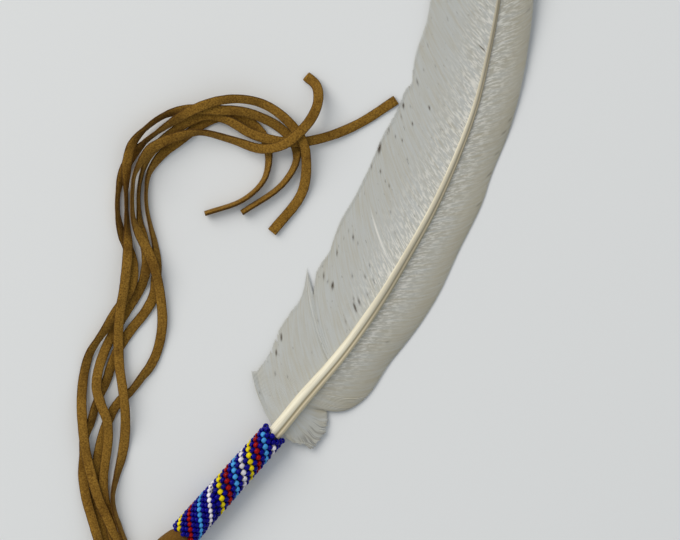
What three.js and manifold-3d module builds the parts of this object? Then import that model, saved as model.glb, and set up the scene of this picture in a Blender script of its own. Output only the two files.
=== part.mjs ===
// Smudge feather: a wing feather in a beaded leather handle, with five suede thongs at its end.
// Millimetres, +Z up. The feather lies on its back on a table at Z = 0, and +Y runs from handle to tip.

import * as THREE from 'three';
import { mergeVertices } from 'three/addons/utils/BufferGeometryUtils.js';
import Module from 'manifold-3d';

const wasm = await Module();
wasm.setup();

// Handle: a bead tube over a leather wrap over the quill, turned a little from the Y axis.
const HANDLE_FOOT = [-17.1, -142.7];
const HANDLE_YAW_DEG = -14.8;
const HANDLE_SIDES = 16;
const BEADWORK_LENGTH = 56.4;
const BEADWORK_FOOT_RADIUS = 6.2;
const BEADWORK_HEAD_RADIUS = 5.6;
const BEADWORK_EDGE = 0.6;
const WRAP_FOOT_RADIUS = 4.2;
const WRAP_HEAD_RADIUS = 3.75;
const WRAP_BORE_FOOT_RADIUS = 2.4;
const WRAP_BORE_HEAD_RADIUS = 3.42;
const WRAP_BORE_FOOT = 1.5;
const WRAP_TAIL_LENGTH = 8.3;
const WRAP_TAIL_RADIUS = 6.3;
const WRAP_TAIL_WAIST_RADIUS = 5.8;
const WRAP_TAIL_SHOULDER_RADIUS = 5.0;
const WRAP_TAIL_BEVEL = [0.7, 1.0];
const WRAP_TAIL_FLATTENING = 0.92;
const FIT_GAP = 0.3;

// Feather: shaft stations are [x, y, centre height, half width, half height], quill end first.
const SHAFT_SIDES = 10;
const SHAFT_STEPS = 26;
const SHAFT_GROOVE_DEPTH = 0.16;
const SHAFT_STATIONS = [
  [-16.35, -139.8, 6.05, 2.0, 2.0],
  [-9.75, -114.8, 5.78, 2.55, 2.4],
  [-2.6, -88.0, 5.49, 3.0, 2.6],
  [1.0, -71.6, 4.9, 2.8, 2.4],
  [6.6, -48.6, 4.1, 2.5, 2.1],
  [10.6, -22.5, 3.4, 2.05, 1.8],
  [12.1, -2.5, 3.0, 1.85, 1.6],
  [12.9, 19.0, 2.7, 1.65, 1.45],
  [11.9, 42.6, 2.6, 1.45, 1.25],
  [9.3, 64.3, 2.9, 1.2, 1.05],
  [4.9, 83.2, 3.6, 0.95, 0.9],
  [-1.7, 105.9, 5.2, 0.75, 0.75],
  [-7.5, 120.9, 6.7, 0.6, 0.65],
  [-14.3, 135.4, 8.4, 0.45, 0.55],
  [-22.4, 151.0, 10.3, 0.3, 0.45],
];
const SHAFT_VANE_START = 2;

// Vane stations are [edge x, edge y, distance of the barb's root up the shaft from the beads].
const VANE_THICKNESS = 0.8;
const VANE_CELLS_ACROSS = 3;
const VANE_ROOT_OVERLAP = 0.3;
const VANE_ROOT_DROP = 0.35;
const BARB_BOW = 0.06;
const WIDE_VANE = [
  [-22.3, -70.9, 0.8], [-20.6, -70.0, 2.4], [-19.4, -62.5, 7.2], [-19.8, -57.3, 10.4], [-20.2, -52.1, 14],
  [-19.4, -44.1, 20], [-18.2, -36.7, 26], [-19.1, -30.9, 30.4], [-21.3, -24.1, 35.2], [-14.4, -32.1, 36],
  [-17.4, -23.7, 37.2], [-17.2, -19.8, 40.4], [-16.4, -13.8, 45.6], [-17.1, -9.7, 49.2], [-18.0, -1.9, 56],
  [-17.4, 11.7, 70.8], [-17.7, 24.6, 85.6], [-18.5, 37.4, 100.8], [-18.1, 49.0, 115.2], [-18.8, 57.5, 126],
  [-17.8, 60.9, 130], [-19.4, 64.8, 133.2], [-21.7, 72.5, 141.2], [-23.5, 84.8, 155.2], [-26.7, 95.4, 167.2],
  [-29.4, 107.0, 180], [-30.9, 121.0, 196], [-30.6, 134.6, 213.6], [-28.1, 145.0, 230], [-23.2, 152.4, 245.2],
];
const NARROW_VANE = [
  [4.2, -88.5, 1.2], [7.6, -88.5, 3.2], [11.7, -87.2, 5.6], [14.0, -88.0, 6.8], [14.9, -84.0, 8.4],
  [15.4, -80.0, 10], [14.1, -75.0, 12], [11.1, -70.3, 14.2], [14.4, -69.5, 15.2], [18.6, -67.7, 16.4],
  [21.6, -63.6, 18.4], [24.0, -57.4, 21.6], [25.4, -44.1, 31.2], [27.6, -33.5, 42], [29.5, -22.5, 52.8],
  [30.5, -8.8, 66], [29.8, 8.8, 82.4], [29.5, 29.8, 103.2], [27.6, 42.5, 116], [26.3, 58.4, 132],
  [23.3, 74.7, 148.4], [18.4, 92.1, 166.8], [10.8, 112.3, 188], [5.5, 123.0, 200], [-1.7, 133.7, 212.8],
  [-9.7, 143.1, 225.2], [-16.9, 149.3, 235.2], [-23.2, 152.4, 245.2],
];

// Height of the vanes' outer edges as [distance up the shaft, height]; the middle lies on the table.
const WIDE_EDGE_HEIGHTS = [[0, 2.4], [14, 0.9], [40, 0.4], [135, 0.4], [170, 2.4], [205, 5.6], [246, 10.3]];
const NARROW_EDGE_HEIGHTS = [
  [0, 4.6], [8, 2.0], [20, 0.7], [40, 0.4], [130, 0.4], [168, 2.4], [205, 5.8], [246, 10.3],
];

// Thongs: flat suede laces. Route points are [x, y, height, roll]; roll 0 lies flat, 90 stands on edge.
const THONG_WIDTH = 4.0;
const THONG_THICKNESS = 1.3;
const THONG_CORNER = 0.35;
const THONG_STEPS = 56;
const THONG_ROUTES = {
  thong_1: [
    [-16.1, -152.2, 4.2, 85], [-18.9, -158.5, 3.3, 85], [-25.1, -163.4, 2.1, 85], [-31.7, -165.3, 2.2, 82],
    [-38.9, -165.0, 4.5, 72], [-44.8, -160.3, 5.3, 30], [-51.6, -153.4, 3.4, 5], [-58.1, -146.4, 2.4, 0],
    [-63.5, -138.8, 1.4, 0], [-66.7, -131.5, 1.0, 5], [-69.9, -125.0, 1.5, 20], [-70.3, -118.5, 1.9, 40],
    [-71.8, -110.7, 2.0, 45], [-72.2, -101.5, 1.8, 35], [-73.2, -95.3, 1.6, 25], [-73.8, -87.9, 1.1, 10],
    [-72.8, -78.5, 0.9, 5], [-70.9, -69.0, 1.1, 10], [-70.9, -61.8, 1.1, 10], [-72.9, -56.1, 1.1, 5],
    [-75.8, -49.5, 1.8, 30], [-79.8, -43.4, 2.2, 62], [-84.7, -37.8, 2.2, 75], [-89.5, -31.7, 2.2, 82],
    [-92.7, -25.8, 2.2, 82], [-94.7, -19.6, 2.2, 70], [-94.3, -13.3, 2.0, 40], [-92.9, -8.5, 1.5, 15],
    [-90.6, -3.8, 1.0, 8], [-88.0, 1.8, 1.1, 10], [-85.0, 7.3, 1.1, 12], [-81.6, 12.0, 1.1, 10],
    [-75.7, 16.3, 1.1, 10], [-68.6, 17.3, 1.2, 12], [-63.5, 16.1, 1.2, 12], [-60.0, 14.2, 1.5, 12],
    [-55.2, 8.6, 2.0, 50], [-52.6, -0.8, 2.2, 65], [-56.4, -11.8, 2.2, 70], [-67.5, -23.5, 2.2, 72],
  ],
  thong_2: [
    [-21.9, -150.7, 4.2, 85], [-23.9, -154.6, 3.9, 85], [-27.2, -157.3, 2.9, 85], [-31.1, -158.4, 2.3, 82],
    [-35.2, -158.0, 3.3, 70], [-40.9, -154.7, 3.9, 25], [-46.6, -150.0, 3.8, 5], [-53.8, -144.2, 3.9, 0],
    [-60.1, -137.6, 3.9, 0], [-66.3, -130.4, 3.7, 0], [-72.8, -120.7, 4.5, 0], [-78.1, -111.2, 2.7, 5],
    [-81.7, -101.9, 1.3, 15], [-83.2, -94.1, 1.9, 40], [-82.7, -88.0, 2.9, 50], [-81.9, -82.2, 3.6, 35],
    [-81.4, -75.7, 3.2, 12], [-80.7, -69.9, 3.2, 5], [-80.4, -64.4, 4.0, 5], [-81.5, -58.7, 4.0, 10],
    [-84.4, -53.9, 3.1, 10], [-88.7, -49.8, 1.4, 8], [-93.2, -46.2, 2.0, 40], [-98.5, -39.5, 2.2, 75],
    [-102.3, -31.6, 2.2, 70], [-103.9, -25.6, 2.0, 35], [-104.4, -20.3, 1.3, 8], [-103.7, -14.7, 1.8, 28],
    [-102.0, -9.2, 4.6, 70], [-99.3, -3.5, 6.0, 75], [-95.7, 3.1, 6.3, 45], [-90.8, 10.7, 7.4, 5],
    [-83.4, 18.7, 9.1, 25], [-74.7, 24.0, 7.4, 30], [-65.4, 26.1, 5.6, 25], [-54.7, 24.4, 6.0, 12],
    [-45.7, 19.9, 6.6, 5], [-40.2, 12.2, 4.3, 5], [-36.7, 1.0, 1.5, 5], [-40.3, -17.9, 1.3, 12],
  ],
  thong_3: [
    [-23.9, -150.2, 4.2, 85], [-25.3, -153.1, 4.0, 85], [-28.0, -155.4, 3.3, 85], [-31.5, -156.3, 2.7, 82],
    [-34.5, -155.8, 2.2, 78], [-37.2, -154.1, 2.2, 72], [-41.4, -150.2, 3.1, 70], [-46.0, -145.6, 3.6, 72],
    [-49.2, -140.5, 2.8, 75], [-51.4, -132.7, 2.1, 58], [-52.7, -126.6, 1.8, 30], [-54.4, -120.7, 1.2, 5],
    [-56.6, -115.1, 2.5, 0], [-60.2, -108.0, 4.4, 0], [-65.1, -100.6, 4.9, 0], [-70.7, -92.7, 3.2, 0],
    [-75.0, -85.0, 3.3, 5], [-77.9, -78.9, 4.4, 8], [-80.3, -72.4, 4.9, 10], [-82.1, -66.6, 6.1, 12],
    [-84.2, -60.5, 6.4, 12], [-86.7, -54.1, 5.6, 10], [-89.4, -48.3, 4.1, 15], [-92.6, -42.8, 2.4, 60],
    [-96.1, -36.5, 2.2, 82], [-99.5, -30.1, 2.7, 78], [-102.3, -24.4, 4.1, 40], [-104.5, -19.2, 5.5, 8],
    [-105.9, -12.2, 6.6, 28], [-104.2, -4.5, 5.1, 70], [-99.6, 4.2, 4.2, 60], [-92.4, 10.4, 5.6, 10],
    [-82.0, 15.4, 6.4, 12], [-73.2, 19.4, 5.7, 25], [-64.6, 20.9, 3.7, 25], [-56.3, 20.6, 1.5, 15],
    [-48.6, 17.8, 1.4, 5], [-44.6, 12.2, 2.1, 50], [-45.3, 0.6, 2.2, 62], [-54.5, -16.5, 2.2, 66],
  ],
  thong_4: [
    [-20.0, -151.2, 4.2, 85], [-22.3, -155.9, 3.7, 85], [-26.5, -159.4, 2.6, 85], [-31.4, -160.8, 2.2, 82],
    [-36.3, -160.1, 2.2, 70], [-41.2, -155.8, 2.3, 20], [-45.6, -149.9, 2.0, 5], [-51.2, -143.8, 2.2, 5],
    [-55.3, -136.9, 2.0, 15], [-58.2, -129.4, 2.2, 10], [-61.2, -121.1, 2.6, 0], [-65.1, -114.5, 4.4, 0],
    [-69.7, -110.5, 4.7, 0], [-74.3, -105.3, 4.7, 0], [-76.9, -99.0, 4.1, 0], [-78.4, -89.9, 1.3, 0],
    [-78.5, -82.3, 0.9, 5], [-78.1, -76.7, 0.9, 5], [-77.7, -71.3, 1.0, 8], [-77.1, -65.9, 1.2, 15],
    [-77.0, -60.9, 1.5, 20], [-77.8, -55.9, 3.3, 15], [-79.6, -51.0, 4.1, 12], [-82.6, -46.2, 4.1, 5],
    [-85.5, -42.8, 3.4, 8], [-88.7, -39.0, 2.1, 50], [-92.1, -33.5, 2.2, 80], [-95.3, -27.1, 2.2, 82],
    [-97.3, -20.0, 2.8, 75], [-97.7, -12.8, 4.5, 50], [-96.3, -6.7, 4.5, 30], [-93.9, -0.8, 3.1, 25],
    [-89.9, 6.2, 3.5, 15], [-84.6, 11.8, 3.4, 8], [-76.2, 13.8, 3.9, 30], [-64.3, 13.4, 4.5, 12],
    [-50.1, 17.2, 4.5, 5], [-39.2, 24.8, 2.9, 10], [-29.1, 36.3, 1.1, 10], [-20.1, 51.6, 0.9, 5],
  ],
  thong_5: [
    [-18.0, -151.7, 4.2, 85], [-20.5, -157.2, 3.5, 85], [-25.8, -161.4, 2.3, 85], [-31.5, -163.0, 2.2, 82],
    [-37.4, -162.3, 2.2, 70], [-43.5, -157.8, 1.8, 25], [-49.8, -151.6, 1.0, 5], [-54.4, -145.4, 0.8, 0],
    [-57.6, -139.9, 0.8, 0], [-60.0, -134.8, 0.9, 5], [-61.6, -129.4, 1.1, 12], [-63.5, -122.2, 1.1, 10],
    [-64.4, -115.1, 0.9, 5], [-64.5, -109.7, 1.0, 5], [-63.6, -105.2, 1.6, 20], [-61.5, -99.7, 2.0, 50],
    [-60.3, -93.2, 1.9, 40], [-59.3, -87.7, 1.5, 20], [-59.7, -80.3, 1.0, 8], [-63.0, -69.9, 2.0, 0],
    [-69.1, -60.0, 3.1, 0], [-75.8, -51.7, 5.5, 0], [-81.4, -46.9, 5.8, 5], [-87.1, -42.9, 6.0, 30],
    [-91.9, -38.4, 6.0, 72], [-94.9, -33.6, 5.0, 82], [-97.5, -28.2, 4.6, 82], [-99.5, -22.1, 7.1, 78],
    [-98.7, -10.9, 8.4, 30], [-95.9, -6.5, 7.5, 10], [-91.4, -1.3, 5.8, 15], [-84.0, 4.5, 4.8, 60],
    [-71.3, 7.6, 3.8, 50], [-58.9, 9.8, 5.8, 12], [-51.8, 15.3, 8.2, 0], [-48.4, 22.6, 8.5, 0],
    [-46.8, 29.7, 8.2, 0], [-47.5, 36.8, 6.2, 0], [-51.0, 42.2, 2.9, 0], [-56.3, 43.8, 0.8, 0],
  ],
};

const COLOURS = { feather: 0xb2b1aa, leather_wrap: 0x8a6426, beadwork: 0x1a1680, thong: 0x86601c };

const degrees = THREE.MathUtils.degToRad;

function mesh(name, geometry, colour, roughness) {
  const material = new THREE.MeshStandardMaterial({ color: colour, roughness, metalness: 0 });
  const part = new THREE.Mesh(geometry, material);
  part.name = name;
  return part;
}

// Straight-line reading of a list of [position, value] pairs.
function readAlong(pairs, position) {
  const after = pairs.findIndex((pair) => pair[0] >= position);
  if (after === 0) return pairs[0][1];
  if (after === -1) return pairs[pairs.length - 1][1];
  const [from, low] = pairs[after - 1];
  const [to, high] = pairs[after];
  return THREE.MathUtils.lerp(low, high, (position - from) / (to - from));
}

// Moves every vertex of a geometry by a function of its place.
function reshape(geometry, place) {
  const position = geometry.getAttribute('position');
  const point = new THREE.Vector3();
  for (let i = 0; i < position.count; i++) {
    point.fromBufferAttribute(position, i);
    place(point);
    position.setXYZ(i, point.x, point.y, point.z);
  }
  return geometry;
}

function solidFrom(geometry) {
  const bare = geometry.clone();
  bare.deleteAttribute('normal');
  bare.deleteAttribute('uv');
  const joined = mergeVertices(bare, 1e-4);
  const vertProperties = new Float32Array(joined.getAttribute('position').array);
  const triVerts = new Uint32Array(joined.index.array);
  return new wasm.Manifold(new wasm.Mesh({ numProp: 3, vertProperties, triVerts }));
}

function geometryFrom(solid) {
  const result = solid.getMesh();
  const geometry = new THREE.BufferGeometry();
  geometry.setAttribute('position', new THREE.BufferAttribute(new Float32Array(result.vertProperties), 3));
  geometry.setIndex(new THREE.BufferAttribute(new Uint32Array(result.triVerts), 1));
  geometry.computeVertexNormals();
  return geometry;
}

// Shaft: its middle line, with half width and half height carried along by the same stations.
const shaftLine = new THREE.CatmullRomCurve3(SHAFT_STATIONS.map(([x, y, z]) => new THREE.Vector3(x, y, z)));
shaftLine.arcLengthDivisions = 2000;
const shaftLength = shaftLine.getLength();
const shaftSpans = SHAFT_STATIONS.length - 1;
const beadsAlongShaft = lengthToStation(SHAFT_VANE_START);

function lengthToStation(index) {
  const lengths = shaftLine.getLengths();
  return lengths[Math.round((index / shaftSpans) * (lengths.length - 1))];
}

// The shaft's centre, half sizes and sideways direction at a distance from the quill end.
function shaftAt(distance) {
  const u = THREE.MathUtils.clamp(distance / shaftLength, 0, 1);
  const station = shaftLine.getUtoTmapping(u) * shaftSpans;
  const from = Math.min(Math.floor(station), shaftSpans - 1);
  const blend = (column) => THREE.MathUtils.lerp(
    SHAFT_STATIONS[from][column], SHAFT_STATIONS[from + 1][column], station - from);
  const along = shaftLine.getTangentAt(u);
  const side = new THREE.Vector3(along.y, -along.x, 0).normalize();
  return { centre: shaftLine.getPointAt(u), side, halfWidth: blend(3), halfHeight: blend(4) };
}

// The shaft is a tapering rod with a shallow groove along its upper, ventral side.
function shaftGeometry() {
  const rod = new THREE.CylinderGeometry(1, 1, 1, SHAFT_SIDES, SHAFT_STEPS);
  return reshape(rod, (point) => {
    const station = shaftAt((point.y + 0.5) * shaftLength);
    const top = point.z > 0.99;
    const lift = top ? point.z - SHAFT_GROOVE_DEPTH : point.z;
    const sideways = station.side.clone().multiplyScalar(point.x * station.halfWidth);
    point.copy(station.centre).add(sideways);
    point.z += lift * station.halfHeight;
  });
}

// A vane is a thin sheet of bowed barbs, one row of cells between each two stations of its edge.
function vaneGeometry(stations, edgeHeights, bowSign) {
  const rows = stations.length - 1;
  const sheet = new THREE.BoxGeometry(1, 1, 1, VANE_CELLS_ACROSS, rows, 1);
  return reshape(sheet, (point) => {
    const row = Math.round((point.y + 0.5) * rows);
    const across = point.x + 0.5;
    const [edgeX, edgeY, rootDistance] = stations[row];
    const shaft = shaftAt(beadsAlongShaft + rootDistance);
    const root = shaft.centre.clone().addScaledVector(shaft.side, -bowSign * VANE_ROOT_OVERLAP);
    root.z -= VANE_ROOT_DROP * shaft.halfHeight;
    const edge = new THREE.Vector3(edgeX, edgeY, readAlong(edgeHeights, rootDistance));
    const barb = edge.clone().sub(root);
    const bowShare = bowSign * BARB_BOW * 4 * across * (1 - across);
    const bow = new THREE.Vector3(barb.y, -barb.x, 0).multiplyScalar(bowShare);
    const half = VANE_THICKNESS * point.z;
    point.copy(root).addScaledVector(barb, across).add(bow);
    point.z += half;
  });
}

// The wide vane runs from shaft to edge towards -X, so its sheet is turned the right way out.
function mirroredSheet(geometry) {
  const index = geometry.index;
  for (let i = 0; i < index.count; i += 3) {
    const second = index.getX(i + 1);
    index.setX(i + 1, index.getX(i + 2));
    index.setX(i + 2, second);
  }
  return geometry;
}

function feather() {
  const shaft = solidFrom(shaftGeometry());
  const wide = solidFrom(mirroredSheet(vaneGeometry(WIDE_VANE, WIDE_EDGE_HEIGHTS, -1)));
  const narrow = solidFrom(vaneGeometry(NARROW_VANE, NARROW_EDGE_HEIGHTS, 1));
  return mesh('feather', geometryFrom(shaft.add(wide).add(narrow)), COLOURS.feather, 0.8);
}

// Handle pieces are turned about the Y axis, with one of their flats facing straight down.
function turned(profile) {
  const points = profile.map(([radius, height]) => new THREE.Vector2(radius, height));
  return new THREE.LatheGeometry(points, HANDLE_SIDES, Math.PI / HANDLE_SIDES);
}

function beadwork() {
  const foot = WRAP_FOOT_RADIUS + FIT_GAP;
  const head = WRAP_HEAD_RADIUS + FIT_GAP;
  const profile = [
    [foot, 0],
    [BEADWORK_FOOT_RADIUS - BEADWORK_EDGE, 0],
    [BEADWORK_FOOT_RADIUS, BEADWORK_EDGE],
    [BEADWORK_HEAD_RADIUS, BEADWORK_LENGTH - BEADWORK_EDGE],
    [BEADWORK_HEAD_RADIUS - BEADWORK_EDGE, BEADWORK_LENGTH],
    [head, BEADWORK_LENGTH],
    [foot, 0],
  ];
  return mesh('beadwork', turned(profile), COLOURS.beadwork, 0.25);
}

// The wrap is a leather tube round the quill, and its tail flares out below the beads.
function leatherWrap() {
  const [bevelIn, bevelUp] = WRAP_TAIL_BEVEL;
  const head = BEADWORK_LENGTH - BEADWORK_EDGE;
  const profile = [
    [0, -WRAP_TAIL_LENGTH],
    [WRAP_TAIL_RADIUS - bevelIn, -WRAP_TAIL_LENGTH],
    [WRAP_TAIL_RADIUS, -WRAP_TAIL_LENGTH + bevelUp],
    [WRAP_TAIL_WAIST_RADIUS, -WRAP_TAIL_LENGTH / 2],
    [WRAP_TAIL_SHOULDER_RADIUS, -FIT_GAP],
    [WRAP_FOOT_RADIUS, -FIT_GAP],
    [WRAP_HEAD_RADIUS, head],
    [WRAP_BORE_HEAD_RADIUS, head],
    [WRAP_BORE_FOOT_RADIUS, WRAP_BORE_FOOT],
    [0, WRAP_BORE_FOOT],
  ];
  const tube = reshape(turned(profile), (point) => {
    if (point.y < 0) point.z *= WRAP_TAIL_FLATTENING;
  });
  return mesh('leather_wrap', tube, COLOURS.leather_wrap, 0.95);
}

// The bead tube narrows towards the feather, so the handle tips until its lowest flat lies level.
function handle() {
  const flat = Math.cos(Math.PI / HANDLE_SIDES);
  const drop = (BEADWORK_FOOT_RADIUS - BEADWORK_HEAD_RADIUS) * flat;
  const run = BEADWORK_LENGTH - 2 * BEADWORK_EDGE;
  const tip = Math.atan2(drop, run);
  const lowestFlat = BEADWORK_FOOT_RADIUS * flat + BEADWORK_EDGE * Math.tan(tip);
  const level = new THREE.Group();
  level.rotation.x = -tip;
  level.add(beadwork(), leatherWrap());
  const placed = new THREE.Group();
  placed.rotation.z = degrees(HANDLE_YAW_DEG);
  placed.position.set(HANDLE_FOOT[0], HANDLE_FOOT[1], lowestFlat * Math.cos(tip));
  placed.add(level);
  return placed;
}

// A lace's middle line that also carries the roll of its flat section.
class LaceLine extends THREE.CatmullRomCurve3 {
  constructor(route) {
    super(route.map(([x, y, z]) => new THREE.Vector3(x, y, z)));
    this.rolls = route.map((point) => degrees(point[3]));
  }

  computeFrenetFrames(segments) {
    const tangents = [];
    const normals = [];
    const binormals = [];
    for (let i = 0; i <= segments; i++) {
      const u = i / segments;
      const tangent = this.getTangentAt(u);
      const station = this.getUtoTmapping(u) * (this.rolls.length - 1);
      const from = Math.min(Math.floor(station), this.rolls.length - 2);
      const roll = THREE.MathUtils.lerp(this.rolls[from], this.rolls[from + 1], station - from);
      const left = new THREE.Vector3(-tangent.y, tangent.x, 0).normalize();
      const up = new THREE.Vector3().crossVectors(tangent, left);
      const normal = left.multiplyScalar(Math.cos(roll)).addScaledVector(up, Math.sin(roll));
      tangents.push(tangent);
      normals.push(normal);
      binormals.push(new THREE.Vector3().crossVectors(tangent, normal));
    }
    return { tangents, normals, binormals };
  }
}

function laceSection() {
  const x = THONG_WIDTH / 2;
  const y = THONG_THICKNESS / 2;
  const corners = [
    [x, -y + THONG_CORNER], [x, y - THONG_CORNER], [x - THONG_CORNER, y], [-x + THONG_CORNER, y],
    [-x, y - THONG_CORNER], [-x, -y + THONG_CORNER], [-x + THONG_CORNER, -y], [x - THONG_CORNER, -y],
  ];
  return new THREE.Shape(corners.map(([cx, cy]) => new THREE.Vector2(cx, cy)));
}

function thong(name, route) {
  const options = { steps: THONG_STEPS, bevelEnabled: false, extrudePath: new LaceLine(route) };
  return mesh(name, new THREE.ExtrudeGeometry(laceSection(), options), COLOURS.thong, 0.95);
}

const smudgeFeather = new THREE.Group();
smudgeFeather.add(feather(), handle());
for (const [name, route] of Object.entries(THONG_ROUTES)) smudgeFeather.add(thong(name, route));

export default smudgeFeather;
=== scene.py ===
import math

import bpy
import numpy as np
from mathutils import Matrix, Vector


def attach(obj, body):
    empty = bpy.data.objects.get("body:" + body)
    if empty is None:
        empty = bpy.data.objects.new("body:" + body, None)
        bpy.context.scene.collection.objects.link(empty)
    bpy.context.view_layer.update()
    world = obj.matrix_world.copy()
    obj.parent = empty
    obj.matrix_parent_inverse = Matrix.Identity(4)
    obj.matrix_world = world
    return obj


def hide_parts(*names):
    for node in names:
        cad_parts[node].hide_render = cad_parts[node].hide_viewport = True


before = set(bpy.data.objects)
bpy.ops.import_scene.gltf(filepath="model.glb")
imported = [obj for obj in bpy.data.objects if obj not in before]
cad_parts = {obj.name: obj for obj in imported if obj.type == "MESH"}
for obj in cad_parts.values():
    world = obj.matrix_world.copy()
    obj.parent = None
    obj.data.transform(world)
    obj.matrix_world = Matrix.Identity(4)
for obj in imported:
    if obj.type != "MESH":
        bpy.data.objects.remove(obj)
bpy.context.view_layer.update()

bl_info = {
    "name": "Smudge Feather",
    "version": (1, 0, 0),
    "blender": (4, 5, 0),
    "location": "3D View > Sidebar > Feather",
    "description": "Builds a wing feather with a beaded suede handle and five suede thongs",
    "category": "Object",
}

MM = 0.001

# Clearance over the table, and the seeds of the random draws.
TABLE_GAP = 0.02 * MM
THONG_SEED = 41
BEAD_SEED = 7
SHAFT_SEED = 11
VANE_SEED = 21

# The photograph's frame: 680 by 540 pixels, 0.4 mm of table to a pixel, turned from the part's axes.
FRAME_WIDTH = 680 * 0.4 * MM
FRAME_CENTRE = (-9.16 * MM, -19.12 * MM)
FRAME_TURN = math.radians(27.0)

# Floor, window and camera: the window's place is along the picture's sides and up, from the part's origin.
FLOOR_REACH = 3.0
WINDOW_SIZE = 3.0
WINDOW_PLACE = (-1.96, 1.596, 2.24)
WINDOW_TINT = "#fff8f0"
ROOM_TINT = "#f0f4f8"
SENSOR_WIDTH = 36.0
CAMERA_CLIP = (0.01, 20.0)

# Handle: the centre of its foot, its turn in plan, and its slight tip towards the feather.
HANDLE_FOOT = (-17.1 * MM, -142.7 * MM, 6.087 * MM)
HANDLE_YAW = math.radians(-14.8)
HANDLE_TIP = math.radians(-0.611)
SLEEVE_LENGTH = 56.4 * MM
SLEEVE_FOOT_RADIUS = 6.2 * MM
SLEEVE_HEAD_RADIUS = 5.6 * MM

# Bead lattice zones: first row's height on the top line, beads in a slanted round, rows that a round climbs,
# row pitch, lean of the columns per row in degrees, rows used, rows from one coloured stripe to the next,
# place of the first stripe's colour, shift of the beads along a round, and the beads' diameter and length
# against the common bead.
BEAD_ZONES = (
    {"start": 49.7 * MM, "round": 16, "climb": 10, "pitch": 2.5 * MM, "lean": -5.0, "rows": (-13, 30),
     "stripe": 2, "first": 2, "phase": 0.42, "size": (1.04, 1.04)},
    {"start": 16.9 * MM, "round": 24, "climb": 15, "pitch": 2.3 * MM, "lean": -4.0, "rows": (-40, 2),
     "stripe": 3, "first": 3, "phase": 0.0, "size": (0.97, 0.9)},
)
# Colours of the stripes in their order, and the range of the single beads' sizes.
STRIPES = ("yellow", "red", "sky", "white")
BEAD_SIZES = (0.92, 1.0)
# Plain navy rim at the sleeve's head, and the least distance between beads of one zone and of two zones.
PLAIN_HEAD = 4.1 * MM
SEAM_GAP = 1.3 * MM
ZONE_GAP = 1.75 * MM
# The beads' rim: its place in bead diameters from the sleeve's ends, and the valley in it over the shaft.
RIM_FOOT = 0.42
RIM_HEAD = 0.4
VALLEY_DEPTH = 0.5
VALLEY_TURN = math.radians(10)
VALLEY_POWER = 6

# Thread under the beads, a near black tube: partly the real thread, partly painted shade in the gaps between
# beads. Its ends, its depth in bead diameters, and the ridges of its turns.
THREAD_ENDS = (1.2 * MM, 1.6 * MM)
THREAD_STEP = 0.35 * MM
THREAD_DEPTH = 0.72
THREAD_SIDES = 24
THREAD_RIDGE = 0.12 * MM
THREAD_PITCH = 1.05 * MM

# Wrap: radius and height over the handle's foot in millimetres, from inside the tail's cup round its rim
# and up the quill.
WRAP_PROFILE = np.array([
    (0.05, -6.6), (3.0, -6.7), (4.9, -7.2), (5.35, -8.3), (5.7, -8.75), (6.15, -8.5), (6.3, -7.3),
    (6.05, -5.2), (5.7, -3.0), (5.2, -1.0), (4.7, -0.1), (4.25, 0.8), (4.1, 8.0), (3.95, 30.0), (3.8, 50.0),
    (3.7, 51.8), (3.3, 52.0), (0.05, 52.1),
]) * MM
WRAP_SAMPLES = 3
WRAP_SIDES = 48
# The tail: its stretch up the handle, its folds as waves round it, their shift and size, the lap where its
# edges meet, the wave and squash of its mouth, and the height and reach of its cut rim.
TAIL_ENDS = (-6 * MM, 0.5 * MM)
TAIL_FOLDS = ((3, 0.6, 0.022), (7, 2.0, 0.018))
TAIL_LAP = 0.03
LAP_START = (1.9, 2.0)
LAP_END = (2.6, 3.4)
TAIL_WAVE = 0.25 * MM
TAIL_SQUASH = 0.08
TAIL_RIM = -8.6 * MM
TAIL_RIM_REACH = 0.8 * MM

# Shaft stations, quill end first: x, y, height, half width and half height in millimetres.
SHAFT = np.array([
    (-16.35, -139.8, 6.05, 2, 2), (-9.75, -114.8, 5.78, 2.55, 2.4), (-2.6, -88, 5.49, 3, 2.6),
    (1, -71.6, 4.9, 2.8, 2.4), (6.6, -48.6, 4.1, 2.5, 2.1), (10.6, -22.5, 3.4, 2.05, 1.8),
    (12.1, -2.5, 3, 1.85, 1.6), (12.9, 19, 2.7, 1.65, 1.45), (11.9, 42.6, 2.6, 1.45, 1.25),
    (9.3, 64.3, 2.9, 1.2, 1.05), (4.9, 83.2, 3.6, 0.95, 0.9), (-1.7, 105.9, 5.2, 0.75, 0.75),
    (-7.5, 120.9, 6.7, 0.6, 0.65), (-14.3, 135.4, 8.4, 0.45, 0.55), (-22.4, 151, 10.3, 0.3, 0.45),
]) * MM
SHAFT_SAMPLES = 40
SHAFT_VANE_START = 2
SHAFT_RINGS = 150
QUILL_INSET = 0.5 * MM
SHAFT_DRIFT = (7, 0.025)
# Half widths to the side and half heights up, round the shaft from its left side over the groove.
SHAFT_SECTION = np.array([
    (-1.0, -0.1), (-0.93, 0.36), (-0.72, 0.74), (-0.42, 0.95), (-0.1, 0.98), (0.12, 0.84), (0.28, 0.6),
    (0.42, 0.58), (0.58, 0.72), (0.76, 0.62), (0.92, 0.32), (1.0, -0.1), (0.85, -0.6), (0.45, -0.92),
    (0.0, -1.0), (-0.45, -0.92), (-0.85, -0.6),
])

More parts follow.
